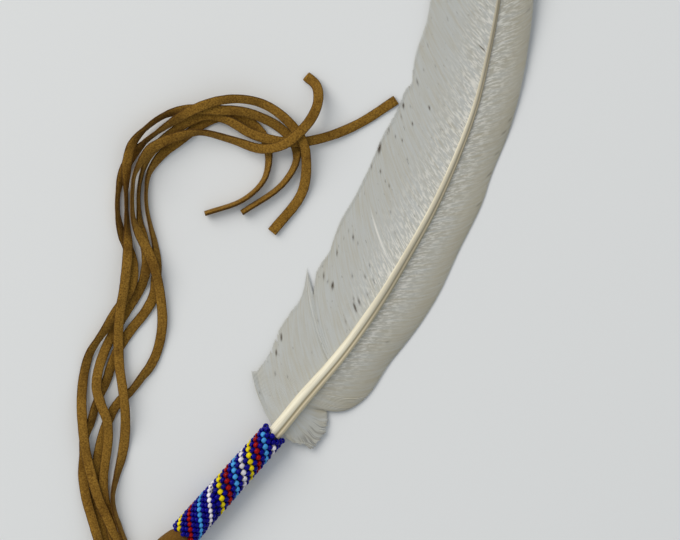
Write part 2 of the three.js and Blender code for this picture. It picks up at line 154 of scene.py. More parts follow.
# Vane edges in millimetres: x and y of a barb's tip, and its root's distance up the shaft from the beads.
WIDE_EDGE = np.array([
    (-22.3, -70.9, 0.8), (-20.6, -70, 2.4), (-19.4, -62.5, 7.2), (-19.8, -57.3, 10.4), (-20.2, -52.1, 14),
    (-19.4, -44.1, 20), (-18.2, -36.7, 26), (-19.1, -30.9, 30.4), (-21.3, -24.1, 35.2), (-14.4, -32.1, 36),
    (-17.4, -23.7, 37.2), (-17.2, -19.8, 40.4), (-16.4, -13.8, 45.6), (-17.1, -9.7, 49.2), (-18, -1.9, 56),
    (-17.4, 11.7, 70.8), (-17.7, 24.6, 85.6), (-18.5, 37.4, 100.8), (-18.1, 49, 115.2), (-18.8, 57.5, 126),
    (-17.8, 60.9, 130), (-19.4, 64.8, 133.2), (-21.7, 72.5, 141.2), (-23.5, 84.8, 155.2),
    (-26.7, 95.4, 167.2), (-29.4, 107, 180), (-30.9, 121, 196), (-30.6, 134.6, 213.6), (-28.1, 145, 230),
    (-23.2, 152.4, 245.2),
]) * MM
NARROW_EDGE = np.array([
    (4.2, -88.5, 1.2), (7.6, -88.5, 3.2), (11.7, -87.2, 5.6), (14, -88, 6.8), (14.9, -84, 8.4),
    (15.4, -80, 10), (14.1, -75, 12), (11.1, -70.3, 14.2), (14.4, -69.5, 15.2), (18.6, -67.7, 16.4),
    (21.6, -63.6, 18.4), (24, -57.4, 21.6), (25.4, -44.1, 31.2), (27.6, -33.5, 42), (29.5, -22.5, 52.8),
    (30.5, -8.8, 66), (29.8, 8.8, 82.4), (29.5, 29.8, 103.2), (27.6, 42.5, 116), (26.3, 58.4, 132),
    (23.3, 74.7, 148.4), (18.4, 92.1, 166.8), (10.8, 112.3, 188), (5.5, 123, 200), (-1.7, 133.7, 212.8),
    (-9.7, 143.1, 225.2), (-16.9, 149.3, 235.2), (-23.2, 152.4, 245.2),
]) * MM
WIDE_CORNERS = (1, 8, 9, 10)
NARROW_CORNERS = (0, 1, 2, 3, 7, 8)
EDGE_SAMPLES = 12

# Distance up the shaft, and height of the vane's outer edge over the table there, in millimetres.
WIDE_HEIGHTS = np.array([
    (0, 2.4), (14, 0.9), (35.2, 0.5), (36, 1.3), (37.2, 0.6), (40, 0.4), (135, 0.4), (170, 2.4),
    (205, 5.6), (246, 10.3),
]) * MM
NARROW_HEIGHTS = np.array([
    (0, 4.6), (8, 2), (20, 0.7), (40, 0.4), (130, 0.4), (168, 2.4), (205, 5.8), (246, 10.3),
]) * MM

# Marks that stand out, as x, y, length, width in millimetres and strength: dark flecks below 0, white above.
WIDE_MARKS = (
    (-0.5, -0.4, 20, 0.7, 1), (4.8, 71.5, 4, 2.2, 0.8), (1.1, 85.6, 3.6, 0.6, -1),
    (-16.4, 50.9, 2.2, 1.1, -0.9), (-6.8, 54.6, 2, 0.8, -0.9), (-15.6, 62.2, 3, 0.8, -0.6),
    (-19.3, 65.4, 2.6, 0.6, -0.6), (-15.4, 67.4, 1.6, 0.6, -0.45), (-10.2, 46, 1.9, 0.8, -0.8),
    (-17.1, 31.6, 3.2, 1.8, -1), (-10.1, 38.6, 1.7, 0.7, -0.7), (-13.8, 38.5, 1.6, 0.7, -0.6),
    (-15.5, 46.8, 2.6, 0.7, -0.5), (-17, 39.7, 2.2, 0.7, -0.6), (-12.7, 23.5, 2.2, 0.8, -0.7),
    (-5.2, 32.8, 1.6, 0.7, -0.5), (-16.6, 23.3, 2.2, 0.7, -0.6), (-16.5, 89.8, 1.4, 0.7, -0.4),
    (-18.7, 76.8, 2.4, 0.7, -0.4), (-12, 70.9, 1.6, 0.7, -0.4), (-13.5, 51.9, 1.6, 0.6, -0.45),
    (-6.5, 20, 2, 0.8, -0.6), (-1.8, 10.8, 1.8, 0.7, -0.5), (-10.3, -5, 2.6, 0.9, -0.75),
    (-8, -6.4, 1.8, 0.7, -0.5), (-13.4, -3.7, 1.6, 0.7, -0.4), (-13.1, -13.6, 2.6, 0.8, -0.7),
    (-14.1, -24, 3, 0.8, -0.7), (-8.8, -25.7, 2.6, 1.3, -0.95), (-11.1, -25.5, 1.6, 0.8, -0.5),
    (0.8, -11.9, 2, 0.8, -0.55), (1.4, -17.1, 2.4, 0.8, -0.6), (-3.6, -19, 2.4, 0.8, -0.55),
    (3.4, -29.8, 4.4, 0.9, -0.9), (3.3, -26.7, 3.2, 0.9, -0.75), (0.6, -26.9, 2.6, 0.8, -0.55),
    (4.6, -16.8, 3, 0.8, -0.5), (5.2, -23, 2.6, 0.8, -0.5), (2.5, -36.3, 3, 0.9, -0.45),
    (-17.9, -53.5, 3.2, 0.8, -0.9), (-16.8, -59.8, 2.6, 0.8, -0.85), (-13.5, -67.6, 2.2, 0.8, -0.5),
    (-8.6, -66.8, 1.8, 0.7, -0.5), (-15.3, -77.4, 1.6, 0.8, -0.5), (-7.9, -41.3, 1.8, 0.7, -0.35),
    (-4.3, -53.4, 1.6, 0.7, -0.35), (3.5, 4.4, 2, 0.7, -0.4), (1.1, 48.9, 1.6, 0.7, -0.4),
)
NARROW_MARKS = (
    (24.1, 65.2, 2, 0.8, -0.45), (24.4, 59.6, 2.6, 0.8, -0.45), (10.6, 107.2, 3, 0.8, -0.35),
    (25.4, 51, 3, 0.7, -0.4), (26.8, 42, 3.4, 0.8, -0.45), (28.2, 29.6, 3, 0.8, -0.4),
    (20.7, -36.1, 2, 0.9, -0.45), (28.7, 58.1, 2, 0.6, -0.3),
)

# Vanes: side of the shaft, bow of the barbs against their length and whether it comes late, and stretches
# up the shaft: the downy tuft's top, where the roots crowd together, and where the tips are frayed.
VANES = {
    "wide_vane": {
        "edge": WIDE_EDGE, "corners": WIDE_CORNERS, "heights": WIDE_HEIGHTS, "marks": WIDE_MARKS,
        "side": -1, "bow": 0.05, "late": False, "tuft": 0.0, "crowded": (34.4 * MM, 37.8 * MM),
        "frayed": (8 * MM, 15 * MM)},
    "narrow_vane": {
        "edge": NARROW_EDGE, "corners": NARROW_CORNERS, "heights": NARROW_HEIGHTS, "marks": NARROW_MARKS,
        "side": 1, "bow": 0.08, "late": True, "tuft": 14.2 * MM, "crowded": (0, 14.2 * MM), "frayed": (0, 0)},
}
# Barbs: cells along one, roots in the shaft's half widths and half heights, spacing, frayed tips, and the
# down's curls and brown strands. TIP_CLUMPS and TUFT_TURNS are drifts: a number of places and a size.
BARB_CELLS = 28
BARB_GAP = 0.05 * MM
ROOT_OUT = 0.8
ROOT_DOWN = 0.35
ROOT_GRID = 4000
FINEST_BARB = 0.08 * MM
CROWDING = 3.0
TIP_TRIM = 0.4 * MM
TIP_CLUMPS = (7, 0.25 * MM)
TIP_TAPER = (0.93, 1.0)
TIP_NARROWING = 0.6
TIP_FRAY = 0.008
LOOSE_FRAY = 7
TUFT_EASE = 4 * MM
TUFT_WAVES = 1.7
TUFT_CURL = 0.55 * MM
TUFT_TURNS = (5, 3.0)
TUFT_STRANDS = 0.4
STRANDS_FROM = (4 * MM, 6 * MM)
STRAND_PART = (0.35, 0.6)
STRAND_BROWN = 0.4
MARK_SOFTNESS = 1.4

# Laces: a quarter of the section as half widths, half depths and how far it is cut edge, the unevenness along
# a lace, and the shape of its ends. The cut edge is darkened: partly its own colour, partly painted shade on
# the sides.
LACE_QUARTER = np.array([
    (1.0, 0.0, 1.0), (0.96, 0.52, 0.8), (0.82, 0.82, 0.3), (0.44, 0.98, 0.0), (0.0, 1.04, 0.0)])
LACE_SAMPLES = 5
LACE_WIDTH_DRIFT = (6, 0.05)
LACE_DEPTH_DRIFT = (8, 0.06)
LACE_ROUGHNESS = 0.02
LACE_END_PINCH = 0.9
LACE_END_BULGE = 0.1 * MM

# Thongs: the routes of the five laces as x, y, height in metres and roll in degrees, and their lengths.
THONG_ROUTES = {
    "thong_1": (
        (-0.0161, -0.1522, 0.0042, 85), (-0.0189, -0.1585, 0.0033, 85), (-0.0251, -0.1634, 0.0021, 85),
        (-0.0317, -0.1653, 0.0022, 82), (-0.0389, -0.165, 0.0045, 72), (-0.0448, -0.1603, 0.0053, 30),
        (-0.0516, -0.1534, 0.0034, 5), (-0.0581, -0.1464, 0.0024, 0), (-0.0635, -0.1388, 0.0014, 0),
        (-0.0667, -0.1315, 0.001, 5), (-0.0699, -0.125, 0.0015, 20), (-0.0703, -0.1185, 0.0019, 40),
        (-0.0718, -0.1107, 0.002, 45), (-0.0722, -0.1015, 0.0018, 35), (-0.0732, -0.0953, 0.0016, 25),
        (-0.0738, -0.0879, 0.0011, 10), (-0.0728, -0.0785, 0.0009, 5), (-0.0709, -0.069, 0.0011, 10),
        (-0.0709, -0.0618, 0.0011, 10), (-0.0729, -0.0561, 0.0011, 5), (-0.0758, -0.0495, 0.0018, 30),
        (-0.0798, -0.0434, 0.0022, 62), (-0.0847, -0.0378, 0.0022, 75), (-0.0895, -0.0317, 0.0022, 82),
        (-0.0927, -0.0258, 0.0022, 82), (-0.0947, -0.0196, 0.0022, 70), (-0.0943, -0.0133, 0.002, 40),
        (-0.0929, -0.0085, 0.0015, 15), (-0.0906, -0.0038, 0.001, 8), (-0.088, 0.0018, 0.0011, 10),
        (-0.085, 0.0073, 0.0011, 12), (-0.0816, 0.012, 0.0011, 10), (-0.0757, 0.0163, 0.0011, 10),
        (-0.0686, 0.0173, 0.0012, 12), (-0.0635, 0.0161, 0.0012, 12), (-0.06, 0.0142, 0.0015, 12),
        (-0.0552, 0.0086, 0.002, 50), (-0.0526, -0.0008, 0.0022, 65), (-0.0564, -0.0118, 0.0022, 70),
        (-0.0675, -0.0235, 0.0022, 72),
    ),
    "thong_2": (
        (-0.0219, -0.1507, 0.0042, 85), (-0.0239, -0.1546, 0.0039, 85), (-0.0272, -0.1573, 0.0029, 85),
        (-0.0311, -0.1584, 0.0023, 82), (-0.0352, -0.158, 0.0033, 70), (-0.0409, -0.1547, 0.0039, 25),
        (-0.0466, -0.15, 0.0038, 5), (-0.0538, -0.1442, 0.0039, 0), (-0.0601, -0.1376, 0.0039, 0),
        (-0.0663, -0.1304, 0.0037, 0), (-0.0728, -0.1207, 0.0045, 0), (-0.0781, -0.1112, 0.0027, 5),
        (-0.0817, -0.1019, 0.0013, 15), (-0.0832, -0.0941, 0.0019, 40), (-0.0827, -0.088, 0.0029, 50),
        (-0.0819, -0.0822, 0.0036, 35), (-0.0814, -0.0757, 0.0032, 12), (-0.0807, -0.0699, 0.0032, 5),
        (-0.0804, -0.0644, 0.004, 5), (-0.0815, -0.0587, 0.004, 10), (-0.0844, -0.0539, 0.0031, 10),
        (-0.0887, -0.0498, 0.0014, 8), (-0.0932, -0.0462, 0.002, 40), (-0.0985, -0.0395, 0.0022, 75),
        (-0.1023, -0.0316, 0.0022, 70), (-0.1039, -0.0256, 0.002, 35), (-0.1044, -0.0203, 0.0013, 8),
        (-0.1037, -0.0147, 0.0018, 28), (-0.102, -0.0092, 0.0046, 70), (-0.0993, -0.0035, 0.006, 75),
        (-0.0957, 0.0031, 0.0063, 45), (-0.0908, 0.0107, 0.0074, 5), (-0.0834, 0.0187, 0.0091, 25),
        (-0.0747, 0.024, 0.0074, 30), (-0.0654, 0.0261, 0.0056, 25), (-0.0547, 0.0244, 0.006, 12),
        (-0.0457, 0.0199, 0.0066, 5), (-0.0402, 0.0122, 0.0043, 5), (-0.0367, 0.001, 0.0015, 5),
        (-0.0403, -0.0179, 0.0013, 12),
    ),
    "thong_3": (
        (-0.0239, -0.1502, 0.0042, 85), (-0.0253, -0.1531, 0.004, 85), (-0.028, -0.1554, 0.0033, 85),
        (-0.0315, -0.1563, 0.0027, 82), (-0.0345, -0.1558, 0.0022, 78), (-0.0372, -0.1541, 0.0022, 72),
        (-0.0414, -0.1502, 0.0031, 70), (-0.046, -0.1456, 0.0036, 72), (-0.0492, -0.1405, 0.0028, 75),
        (-0.0514, -0.1327, 0.0021, 58), (-0.0527, -0.1266, 0.0018, 30), (-0.0544, -0.1207, 0.0012, 5),
        (-0.0566, -0.1151, 0.0025, 0), (-0.0602, -0.108, 0.0044, 0), (-0.0651, -0.1006, 0.0049, 0),
        (-0.0707, -0.0927, 0.0032, 0), (-0.075, -0.085, 0.0033, 5), (-0.0779, -0.0789, 0.0044, 8),
        (-0.0803, -0.0724, 0.0049, 10), (-0.0821, -0.0666, 0.0061, 12), (-0.0842, -0.0605, 0.0064, 12),
        (-0.0867, -0.0541, 0.0056, 10), (-0.0894, -0.0483, 0.0041, 15), (-0.0926, -0.0428, 0.0024, 60),
        (-0.0961, -0.0365, 0.0022, 82), (-0.0995, -0.0301, 0.0027, 78), (-0.1023, -0.0244, 0.0041, 40),
        (-0.1045, -0.0192, 0.0055, 8), (-0.1059, -0.0122, 0.0066, 28), (-0.1042, -0.0045, 0.0051, 70),
        (-0.0996, 0.0042, 0.0042, 60), (-0.0924, 0.0104, 0.0056, 10), (-0.082, 0.0154, 0.0064, 12),
        (-0.0732, 0.0194, 0.0057, 25), (-0.0646, 0.0209, 0.0037, 25), (-0.0563, 0.0206, 0.0015, 15),
        (-0.0486, 0.0178, 0.0014, 5), (-0.0446, 0.0122, 0.0021, 50), (-0.0453, 0.0006, 0.0022, 62),
        (-0.0545, -0.0165, 0.0022, 66),
    ),
    "thong_4": (
        (-0.02, -0.1512, 0.0042, 85), (-0.0223, -0.1559, 0.0037, 85), (-0.0265, -0.1594, 0.0026, 85),
        (-0.0314, -0.1608, 0.0022, 82), (-0.0363, -0.1601, 0.0022, 70), (-0.0412, -0.1558, 0.0023, 20),
        (-0.0456, -0.1499, 0.002, 5), (-0.0512, -0.1438, 0.0022, 5), (-0.0553, -0.1369, 0.002, 15),
        (-0.0582, -0.1294, 0.0022, 10), (-0.0612, -0.1211, 0.0026, 0), (-0.0651, -0.1145, 0.0044, 0),
        (-0.0697, -0.1105, 0.0047, 0), (-0.0743, -0.1053, 0.0047, 0), (-0.0769, -0.099, 0.0041, 0),
        (-0.0784, -0.0899, 0.0013, 0), (-0.0785, -0.0823, 0.0009, 5), (-0.0781, -0.0767, 0.0009, 5),
        (-0.0777, -0.0713, 0.001, 8), (-0.0771, -0.0659, 0.0012, 15), (-0.077, -0.0609, 0.0015, 20),
        (-0.0778, -0.0559, 0.0033, 15), (-0.0796, -0.051, 0.0041, 12), (-0.0826, -0.0462, 0.0041, 5),
        (-0.0855, -0.0428, 0.0034, 8), (-0.0887, -0.039, 0.0021, 50), (-0.0921, -0.0335, 0.0022, 80),
        (-0.0953, -0.0271, 0.0022, 82), (-0.0973, -0.02, 0.0028, 75), (-0.0977, -0.0128, 0.0045, 50),
        (-0.0963, -0.0067, 0.0045, 30), (-0.0939, -0.0008, 0.0031, 25), (-0.0899, 0.0062, 0.0035, 15),
        (-0.0846, 0.0118, 0.0034, 8), (-0.0762, 0.0138, 0.0039, 30), (-0.0643, 0.0134, 0.0045, 12),
        (-0.0501, 0.0172, 0.0045, 5), (-0.0392, 0.0248, 0.0029, 10), (-0.0291, 0.0363, 0.0011, 10),
        (-0.0201, 0.0516, 0.0009, 5),
    ),
    "thong_5": (
        (-0.018, -0.1517, 0.0042, 85), (-0.0205, -0.1572, 0.0035, 85), (-0.0258, -0.1614, 0.0023, 85),
        (-0.0315, -0.163, 0.0022, 82), (-0.0374, -0.1623, 0.0022, 70), (-0.0435, -0.1578, 0.0018, 25),
        (-0.0498, -0.1516, 0.001, 5), (-0.0544, -0.1454, 0.0008, 0), (-0.0576, -0.1399, 0.0008, 0),
        (-0.06, -0.1348, 0.0009, 5), (-0.0616, -0.1294, 0.0011, 12), (-0.0635, -0.1222, 0.0011, 10),
        (-0.0644, -0.1151, 0.0009, 5), (-0.0645, -0.1097, 0.001, 5), (-0.0636, -0.1052, 0.0016, 20),
        (-0.0615, -0.0997, 0.002, 50), (-0.0603, -0.0932, 0.0019, 40), (-0.0593, -0.0877, 0.0015, 20),
        (-0.0597, -0.0803, 0.001, 8), (-0.063, -0.0699, 0.002, 0), (-0.0691, -0.06, 0.0031, 0),
        (-0.0758, -0.0517, 0.0055, 0), (-0.0814, -0.0469, 0.0058, 5), (-0.0871, -0.0429, 0.006, 30),
        (-0.0919, -0.0384, 0.006, 72), (-0.0949, -0.0336, 0.005, 82), (-0.0975, -0.0282, 0.0046, 82),
        (-0.0995, -0.0221, 0.0071, 78), (-0.0987, -0.0109, 0.0084, 30), (-0.0959, -0.0065, 0.0075, 10),
        (-0.0914, -0.0013, 0.0058, 15), (-0.084, 0.0045, 0.0048, 60), (-0.0713, 0.0076, 0.0038, 50),
        (-0.0589, 0.0098, 0.0058, 12), (-0.0518, 0.0153, 0.0082, 0), (-0.0484, 0.0226, 0.0085, 0),
        (-0.0468, 0.0297, 0.0082, 0), (-0.0475, 0.0368, 0.0062, 0), (-0.051, 0.0422, 0.0029, 0),
        (-0.0563, 0.0438, 0.0008, 0),
    ),
}


def linear(code):
    """Linear RGBA of an sRGB hex colour."""
    parts = [int(code[i:i + 2], 16) / 255 for i in (1, 3, 5)]
    return tuple(p / 12.92 if p <= 0.04045 else ((p + 0.055) / 1.055) ** 2.4 for p in parts) + (1.0,)


def colour_property(name, description, code):
    """A colour that the user can change."""
    return bpy.props.FloatVectorProperty(
        name=name, description=description, subtype="COLOR", size=4, min=0, max=1, default=linear(code))


def length_property(name, description, size):
    """A length in metres that the user can change."""
    return bpy.props.FloatProperty(name=name, description=description, default=size, min=0, unit="LENGTH")


class FeatherLook(bpy.types.PropertyGroup):
    """Sizes and colours of the feather."""
    barbs: bpy.props.IntProperty(
        name="Barbs", description="Barbs on each side of the shaft", default=600, min=50, max=900)
    barb_overlap: bpy.props.FloatProperty(
        name="Barb overlap", description="A barb's width over the spacing of the barbs", default=1.3, min=0.2)
    barb_rise: bpy.props.FloatProperty(
        name="Barb rise", description="Height of a barb's ridge over its half width", default=0.7, min=0.1)
    widest_barb: length_property("Widest barb", "Most that a barb's half width may be", 0.6 * MM)
    pale: colour_property("Pale barbs", "Colour of the wide vane", "#cccfcc")
    shaded: colour_property("Shaded barbs", "Olive grey of the narrow vane", "#c1bca9")
    fluff: colour_property("White down", "White streaks beside the shaft", "#f4f3ec")
    fleck: colour_property("Flecks", "Dark marks along single barbs", "#54493b")
    cream: colour_property("Cream shaft", "Lit side of the shaft", "#f0ead2")
    groove: colour_property("Shaft groove", "Olive groove down the shaft", "#ab9f7f")
    brown: colour_property("Brown shaft", "Grey brown of the shaft's thin upper part", "#8d8672")
    tan: colour_property("Shaft flank", "Tan ridge beside the groove", "#dccfae")


class HandleLook(bpy.types.PropertyGroup):
    """Sizes and colours of the beaded handle."""
    bead_diameter: length_property("Bead diameter", "Outside diameter of a seed bead", 2.4 * MM)
    bead_length: length_property("Bead length", "Length of a seed bead along its hole", 1.9 * MM)
    bead_hole: length_property("Bead hole", "Diameter of a seed bead's hole", 0.5 * MM)
    navy: colour_property("Navy beads", "Ground of the beadwork", "#090585")
    red: colour_property("Red beads", "Red stripe", "#9d0c06")
    yellow: colour_property("Yellow beads", "Yellow stripe", "#f2dc0a")
    sky: colour_property("Light blue beads", "Light blue stripe", "#4aa3e6")
    white: colour_property("White beads", "White stripe", "#f2eef4")
    # Near black: the thread's own colour and the painted shade in the gaps between beads.
    thread: colour_property("Thread", "Dark thread under the beads", "#07061c")
    suede: colour_property("Wrap suede", "Leather of the wrap", "#795825")
    suede_dark: colour_property("Wrap suede shade", "Dark nap of the wrap", "#553a12")


class ThongLook(bpy.types.PropertyGroup):
    """Sizes and colours of the suede thongs."""
    width: length_property("Lace width", "Width of a lace", 4.0 * MM)
    thickness: length_property("Lace thickness", "Thickness of a lace", 1.3 * MM)
    light: colour_property("Light nap", "Brushed nap that catches the light", "#9b7630")
    dark: colour_property("Dark nap", "Nap brushed the other way", "#452806")
    # The cut colour darkens the laces' sides: partly the cut edges' own colour, partly painted shade.
    cut: colour_property("Cut edge", "Edges where the lace was cut", "#2a1303")


class StageLook(bpy.types.PropertyGroup):
    """Floor, light and camera."""
    floor: colour_property("Floor", "Pale floor", "#e4e7e8")
    distance: length_property("Camera height", "Height of the camera over the table", 3.0)
    key: bpy.props.FloatProperty(
        name="Key light", description="Power of the large soft light", default=79.0, unit="POWER")
    fill: bpy.props.FloatProperty(
        name="Fill", description="Strength of the even light from all round", default=0.53)


def smooth_line(points, samples):
    """Centripetal Catmull-Rom line through the points, with this many samples on each span."""
    points = np.asarray(points, float)
    full = np.vstack([2 * points[0] - points[1], points, 2 * points[-1] - points[-2]])
    t = np.linspace(0, 1, samples, endpoint=False)[:, None]
    spans = []
    for p0, p1, p2, p3 in zip(full, full[1:], full[2:], full[3:]):
        pairs = ((p0, p1), (p1, p2), (p2, p3))
        d0, d1, d2 = (math.sqrt(max(np.linalg.norm(b - a), 1e-9)) for a, b in pairs)
        m1 = ((p1 - p0) / d0 - (p2 - p0) / (d0 + d1) + (p2 - p1) / d1) * d1
        m2 = ((p2 - p1) / d1 - (p3 - p1) / (d1 + d2) + (p3 - p2) / d2) * d1
        square = (3 * (p2 - p1) - 2 * m1 - m2) * t ** 2
        cube = (2 * (p1 - p2) + m1 + m2) * t ** 3
        spans.append(p1 + m1 * t + square + cube)
    return np.vstack(spans + [points[-1:]])


def unit(vectors):
    """Vectors of the same directions and length 1."""
    return vectors / np.maximum(np.linalg.norm(vectors, axis=-1, keepdims=True), 1e-12)


def run_of(line):
    """Distance along a line at each of its points."""
    return np.concatenate([[0], np.cumsum(np.linalg.norm(np.diff(line, axis=0), axis=1))])


def wander(rng, count, step, size):
    """Slow random drift: one value per place, smooth over step places."""
    knots = rng.uniform(-size, size, count // step + 3)
    at = np.arange(count) / step
    low = at.astype(int)
    part = at - low
    part = part * part * (3 - 2 * part)
    return knots[low] * (1 - part) + knots[low + 1] * part


def ease(value, start, end):
    """0 before start, 1 after end, smooth between them."""
    t = np.clip((value - start) / (end - start), 0, 1)
    return t * t * (3 - 2 * t)


def spread(values, count):
    """Values at count even places along a list of values."""
    return np.interp(np.linspace(0, len(values) - 1, count), np.arange(len(values)), values)


def round_turns(sides):
    """Angles of this many even steps round a circle."""
    return np.linspace(0, 2 * math.pi, sides, endpoint=False)


SHAFT_LINE = smooth_line(SHAFT[:, :3], SHAFT_SAMPLES)
SHAFT_RUN = run_of(SHAFT_LINE)
SHAFT_RUN = SHAFT_RUN - SHAFT_RUN[SHAFT_VANE_START * SHAFT_SAMPLES]


def shaft_at(distance):
    """The shaft's centre, sideways direction, half width and half height, by distance up from the beads."""
    def along_shaft(columns):
        return np.stack([np.interp(distance, SHAFT_RUN, column) for column in columns.T], axis=-1)

    along = unit(along_shaft(unit(np.gradient(SHAFT_LINE, axis=0))))
    side = unit(np.stack([along[..., 1], -along[..., 0], 0 * along[..., 0]], axis=-1))
    station = np.interp(distance, SHAFT_RUN, np.linspace(0, len(SHAFT) - 1, len(SHAFT_LINE)))
    half_width, half_height = (np.interp(station, np.arange(len(SHAFT)), SHAFT[:, i]) for i in (3, 4))
    return along_shaft(SHAFT_LINE), side, half_width, half_height


def edge_at(edge, corners, distance):
    """Barb tips along a vane's edge, smooth between the corners of its outline."""
    breaks = [0, *[c for c in corners if 0 < c < len(edge) - 1], len(edge) - 1]
    runs = []
    for first, last in zip(breaks, breaks[1:]):
        stretch = edge[first:last + 1]
        line = smooth_line(stretch[:, :2], EDGE_SAMPLES)
        runs.append(np.column_stack([line, spread(stretch[:, 2], len(line))]))
    line = np.vstack(runs)
    return np.stack([np.interp(distance, line[:, 2], line[:, i]) for i in (0, 1)], axis=-1)


def add(tree, kind, settings=None, values=None, links=None):
    """Adds a node with its settings, its sockets' values and links from other nodes' outputs."""
    node = tree.nodes.new(kind)
    for key, value in (settings or {}).items():
        setattr(node, key, value)
    for key, value in (values or {}).items():
        node.inputs[key].default_value = value
    for key, output in (links or {}).items():
        tree.links.new(output, node.inputs[key])
    return node


def new_material(name, values):
    """A material with one surface shader, whose constant values sit on its own sockets."""
    material = bpy.data.materials.new(name)
    material.use_nodes = True
    tree = material.node_tree
    tree.nodes.clear()
    surface = add(tree, "ShaderNodeBsdfPrincipled", values=values)
    add(tree, "ShaderNodeOutputMaterial", links={"Surface": surface.outputs[0]})
    return material, tree, surface


def tinted(tree, base, tint, value, low, high, most=1.0, weight=None):
    """A colour that takes on a tint as a value goes from low to high, up to its most and by its weight."""
    step = add(
        tree, "ShaderNodeMapRange", {"interpolation_type": "SMOOTHSTEP"},
        {"From Min": low, "From Max": high, "To Min": 0.0, "To Max": most}, {"Value": value})
    amount = step.outputs[0]
    if weight is not None:
        weighed = add(tree, "ShaderNodeMath", {"operation": "MULTIPLY"}, links={0: amount, 1: weight})
        amount = weighed.outputs[0]
    mix = add(tree, "ShaderNodeMix", {"data_type": "RGBA"}, {7: tuple(tint)}, {0: amount})
    if isinstance(base, bpy.types.NodeSocket):
        tree.links.new(base, mix.inputs[6])
    else:
        mix.inputs[6].default_value = tuple(base)
    return mix.outputs[2]


def grain(tree, vector, sizes, detail):
    """Noise whose marks have these sizes in metres along the vector's three axes."""
    scales = tuple(1 / s if s else 0.0 for s in sizes)
    stretched = add(tree, "ShaderNodeVectorMath", {"operation": "MULTIPLY"}, {1: scales}, {0: vector})
    noise = add(
        tree, "ShaderNodeTexNoise", values={"Scale": 1.0, "Detail": detail},
        links={"Vector": stretched.outputs[0]})
    return noise.outputs["Fac"]


def new_piece(name, mesh, material, slot, *nodes):
    """A finished piece of the object: it rides on the part and stands for its CAD nodes. Its slot is not
    used.
    """
    obj = bpy.data.objects.new(name, mesh)
    bpy.context.scene.collection.objects.link(obj)
    mesh.materials.clear()
    mesh.materials.append(material)
    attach(obj, "root")
    if nodes:
        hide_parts(*nodes)
    return obj


def set_attribute(mesh, name, kind, values):
    """Gives each point of a mesh a value of its own under a name."""
    attribute = mesh.attributes.new(name, kind, "POINT")
    key = {"FLOAT": "value", "FLOAT_COLOR": "color", "FLOAT_VECTOR": "vector"}[kind]
    attribute.data.foreach_set(key, np.asarray(values, np.float32).ravel())


def ring_mesh(name, rings):
    """A closed tube through rings of points: each ring has as many points, and both ends are capped."""
    count, sides = rings.shape[:2]
    faces = []
    for i in range(count - 1):
        for k in range(sides):
            n = (k + 1) % sides
            faces.append((i * sides + k, i * sides + n, (i + 1) * sides + n, (i + 1) * sides + k))
    faces.append(tuple(range(sides - 1, -1, -1)))
    faces.append(tuple(range((count - 1) * sides, count * sides)))
    mesh = bpy.data.meshes.new(name)
    mesh.from_pydata(rings.reshape(-1, 3).tolist(), [], faces)
    mesh.polygons.foreach_set("use_smooth", [True] * len(mesh.polygons))
    mesh.update()
    return mesh


def new_tree(name, inputs):
    """An empty Geometry Nodes tree with a geometry going in and out and these named inputs."""
    tree = bpy.data.node_groups.new(name, "GeometryNodeTree")
    tree.interface.new_socket("Geometry", in_out="INPUT", socket_type="NodeSocketGeometry")
    for socket_name, kind in inputs.items():
        tree.interface.new_socket(socket_name, in_out="INPUT", socket_type="NodeSocket" + kind)
    tree.interface.new_socket("Geometry", in_out="OUTPUT", socket_type="NodeSocketGeometry")
    return tree, add(tree, "NodeGroupInput").outputs


def close_tree(tree, geometry, material):
    """Ends a tree in real mesh with its material set."""
    real = add(tree, "GeometryNodeRealizeInstances", links={0: geometry})
    dressed = add(
        tree, "GeometryNodeSetMaterial", links={"Geometry": real.outputs[0], "Material": material})
    add(tree, "NodeGroupOutput", links={0: dressed.outputs[0]})
    return tree


def grown(name, mesh, tree, values):
    """The plain mesh that a tree makes from a mesh, with the tree's inputs set by name."""
    obj = bpy.data.objects.new(name, mesh)
    bpy.context.scene.collection.objects.link(obj)
    modifier = obj.modifiers.new(name, "NODES")
    modifier.node_group = tree
    for item in tree.interface.items_tree:
        if item.item_type == "SOCKET" and item.in_out == "INPUT" and item.name in values:
            modifier[item.identifier] = values[item.name]
    graph = bpy.context.evaluated_depsgraph_get()
    result = bpy.data.meshes.new_from_object(obj.evaluated_get(graph))
    obj.modifiers.remove(modifier)
    bpy.data.objects.remove(obj)
    if not result.polygons:
        raise RuntimeError(name + " came out empty")
    result.name = name
    return result


def barb_tree():
    """Turns lines of points into barbs: three-sided strips with a ridge, as wide as each point says."""
    tree, given = new_tree("Feather barbs", {"Rise": "Float", "Material": "Material"})
    line = add(tree, "GeometryNodeMeshToCurve", links={0: given["Geometry"]})
    level = add(tree, "GeometryNodeSetCurveNormal", {"mode": "Z_UP"}, links={0: line.outputs[0]})
    width = add(tree, "GeometryNodeInputNamedAttribute", {"data_type": "FLOAT"}, {"Name": "half_width"})
    triangle = add(
        tree, "GeometryNodeCurvePrimitiveCircle", {"mode": "RADIUS"}, {"Resolution": 3, "Radius": 1.0})
    turned = add(
        tree, "GeometryNodeTransform", values={"Rotation": (0.0, 0.0, math.pi / 2)},
        links={"Geometry": triangle.outputs[0]})
    scale = add(tree, "ShaderNodeCombineXYZ", values={0: 1.0, 2: 1.0}, links={1: given["Rise"]})
    low = add(
        tree, "GeometryNodeTransform", links={"Geometry": turned.outputs[0], "Scale": scale.outputs[0]})
    strips = add(
        tree, "GeometryNodeCurveToMesh", values={"Fill Caps": True},
        links={"Curve": level.outputs[0], "Profile Curve": low.outputs[0],
               "Scale": width.outputs["Attribute"]})
    return close_tree(tree, strips.outputs[0], given["Material"])


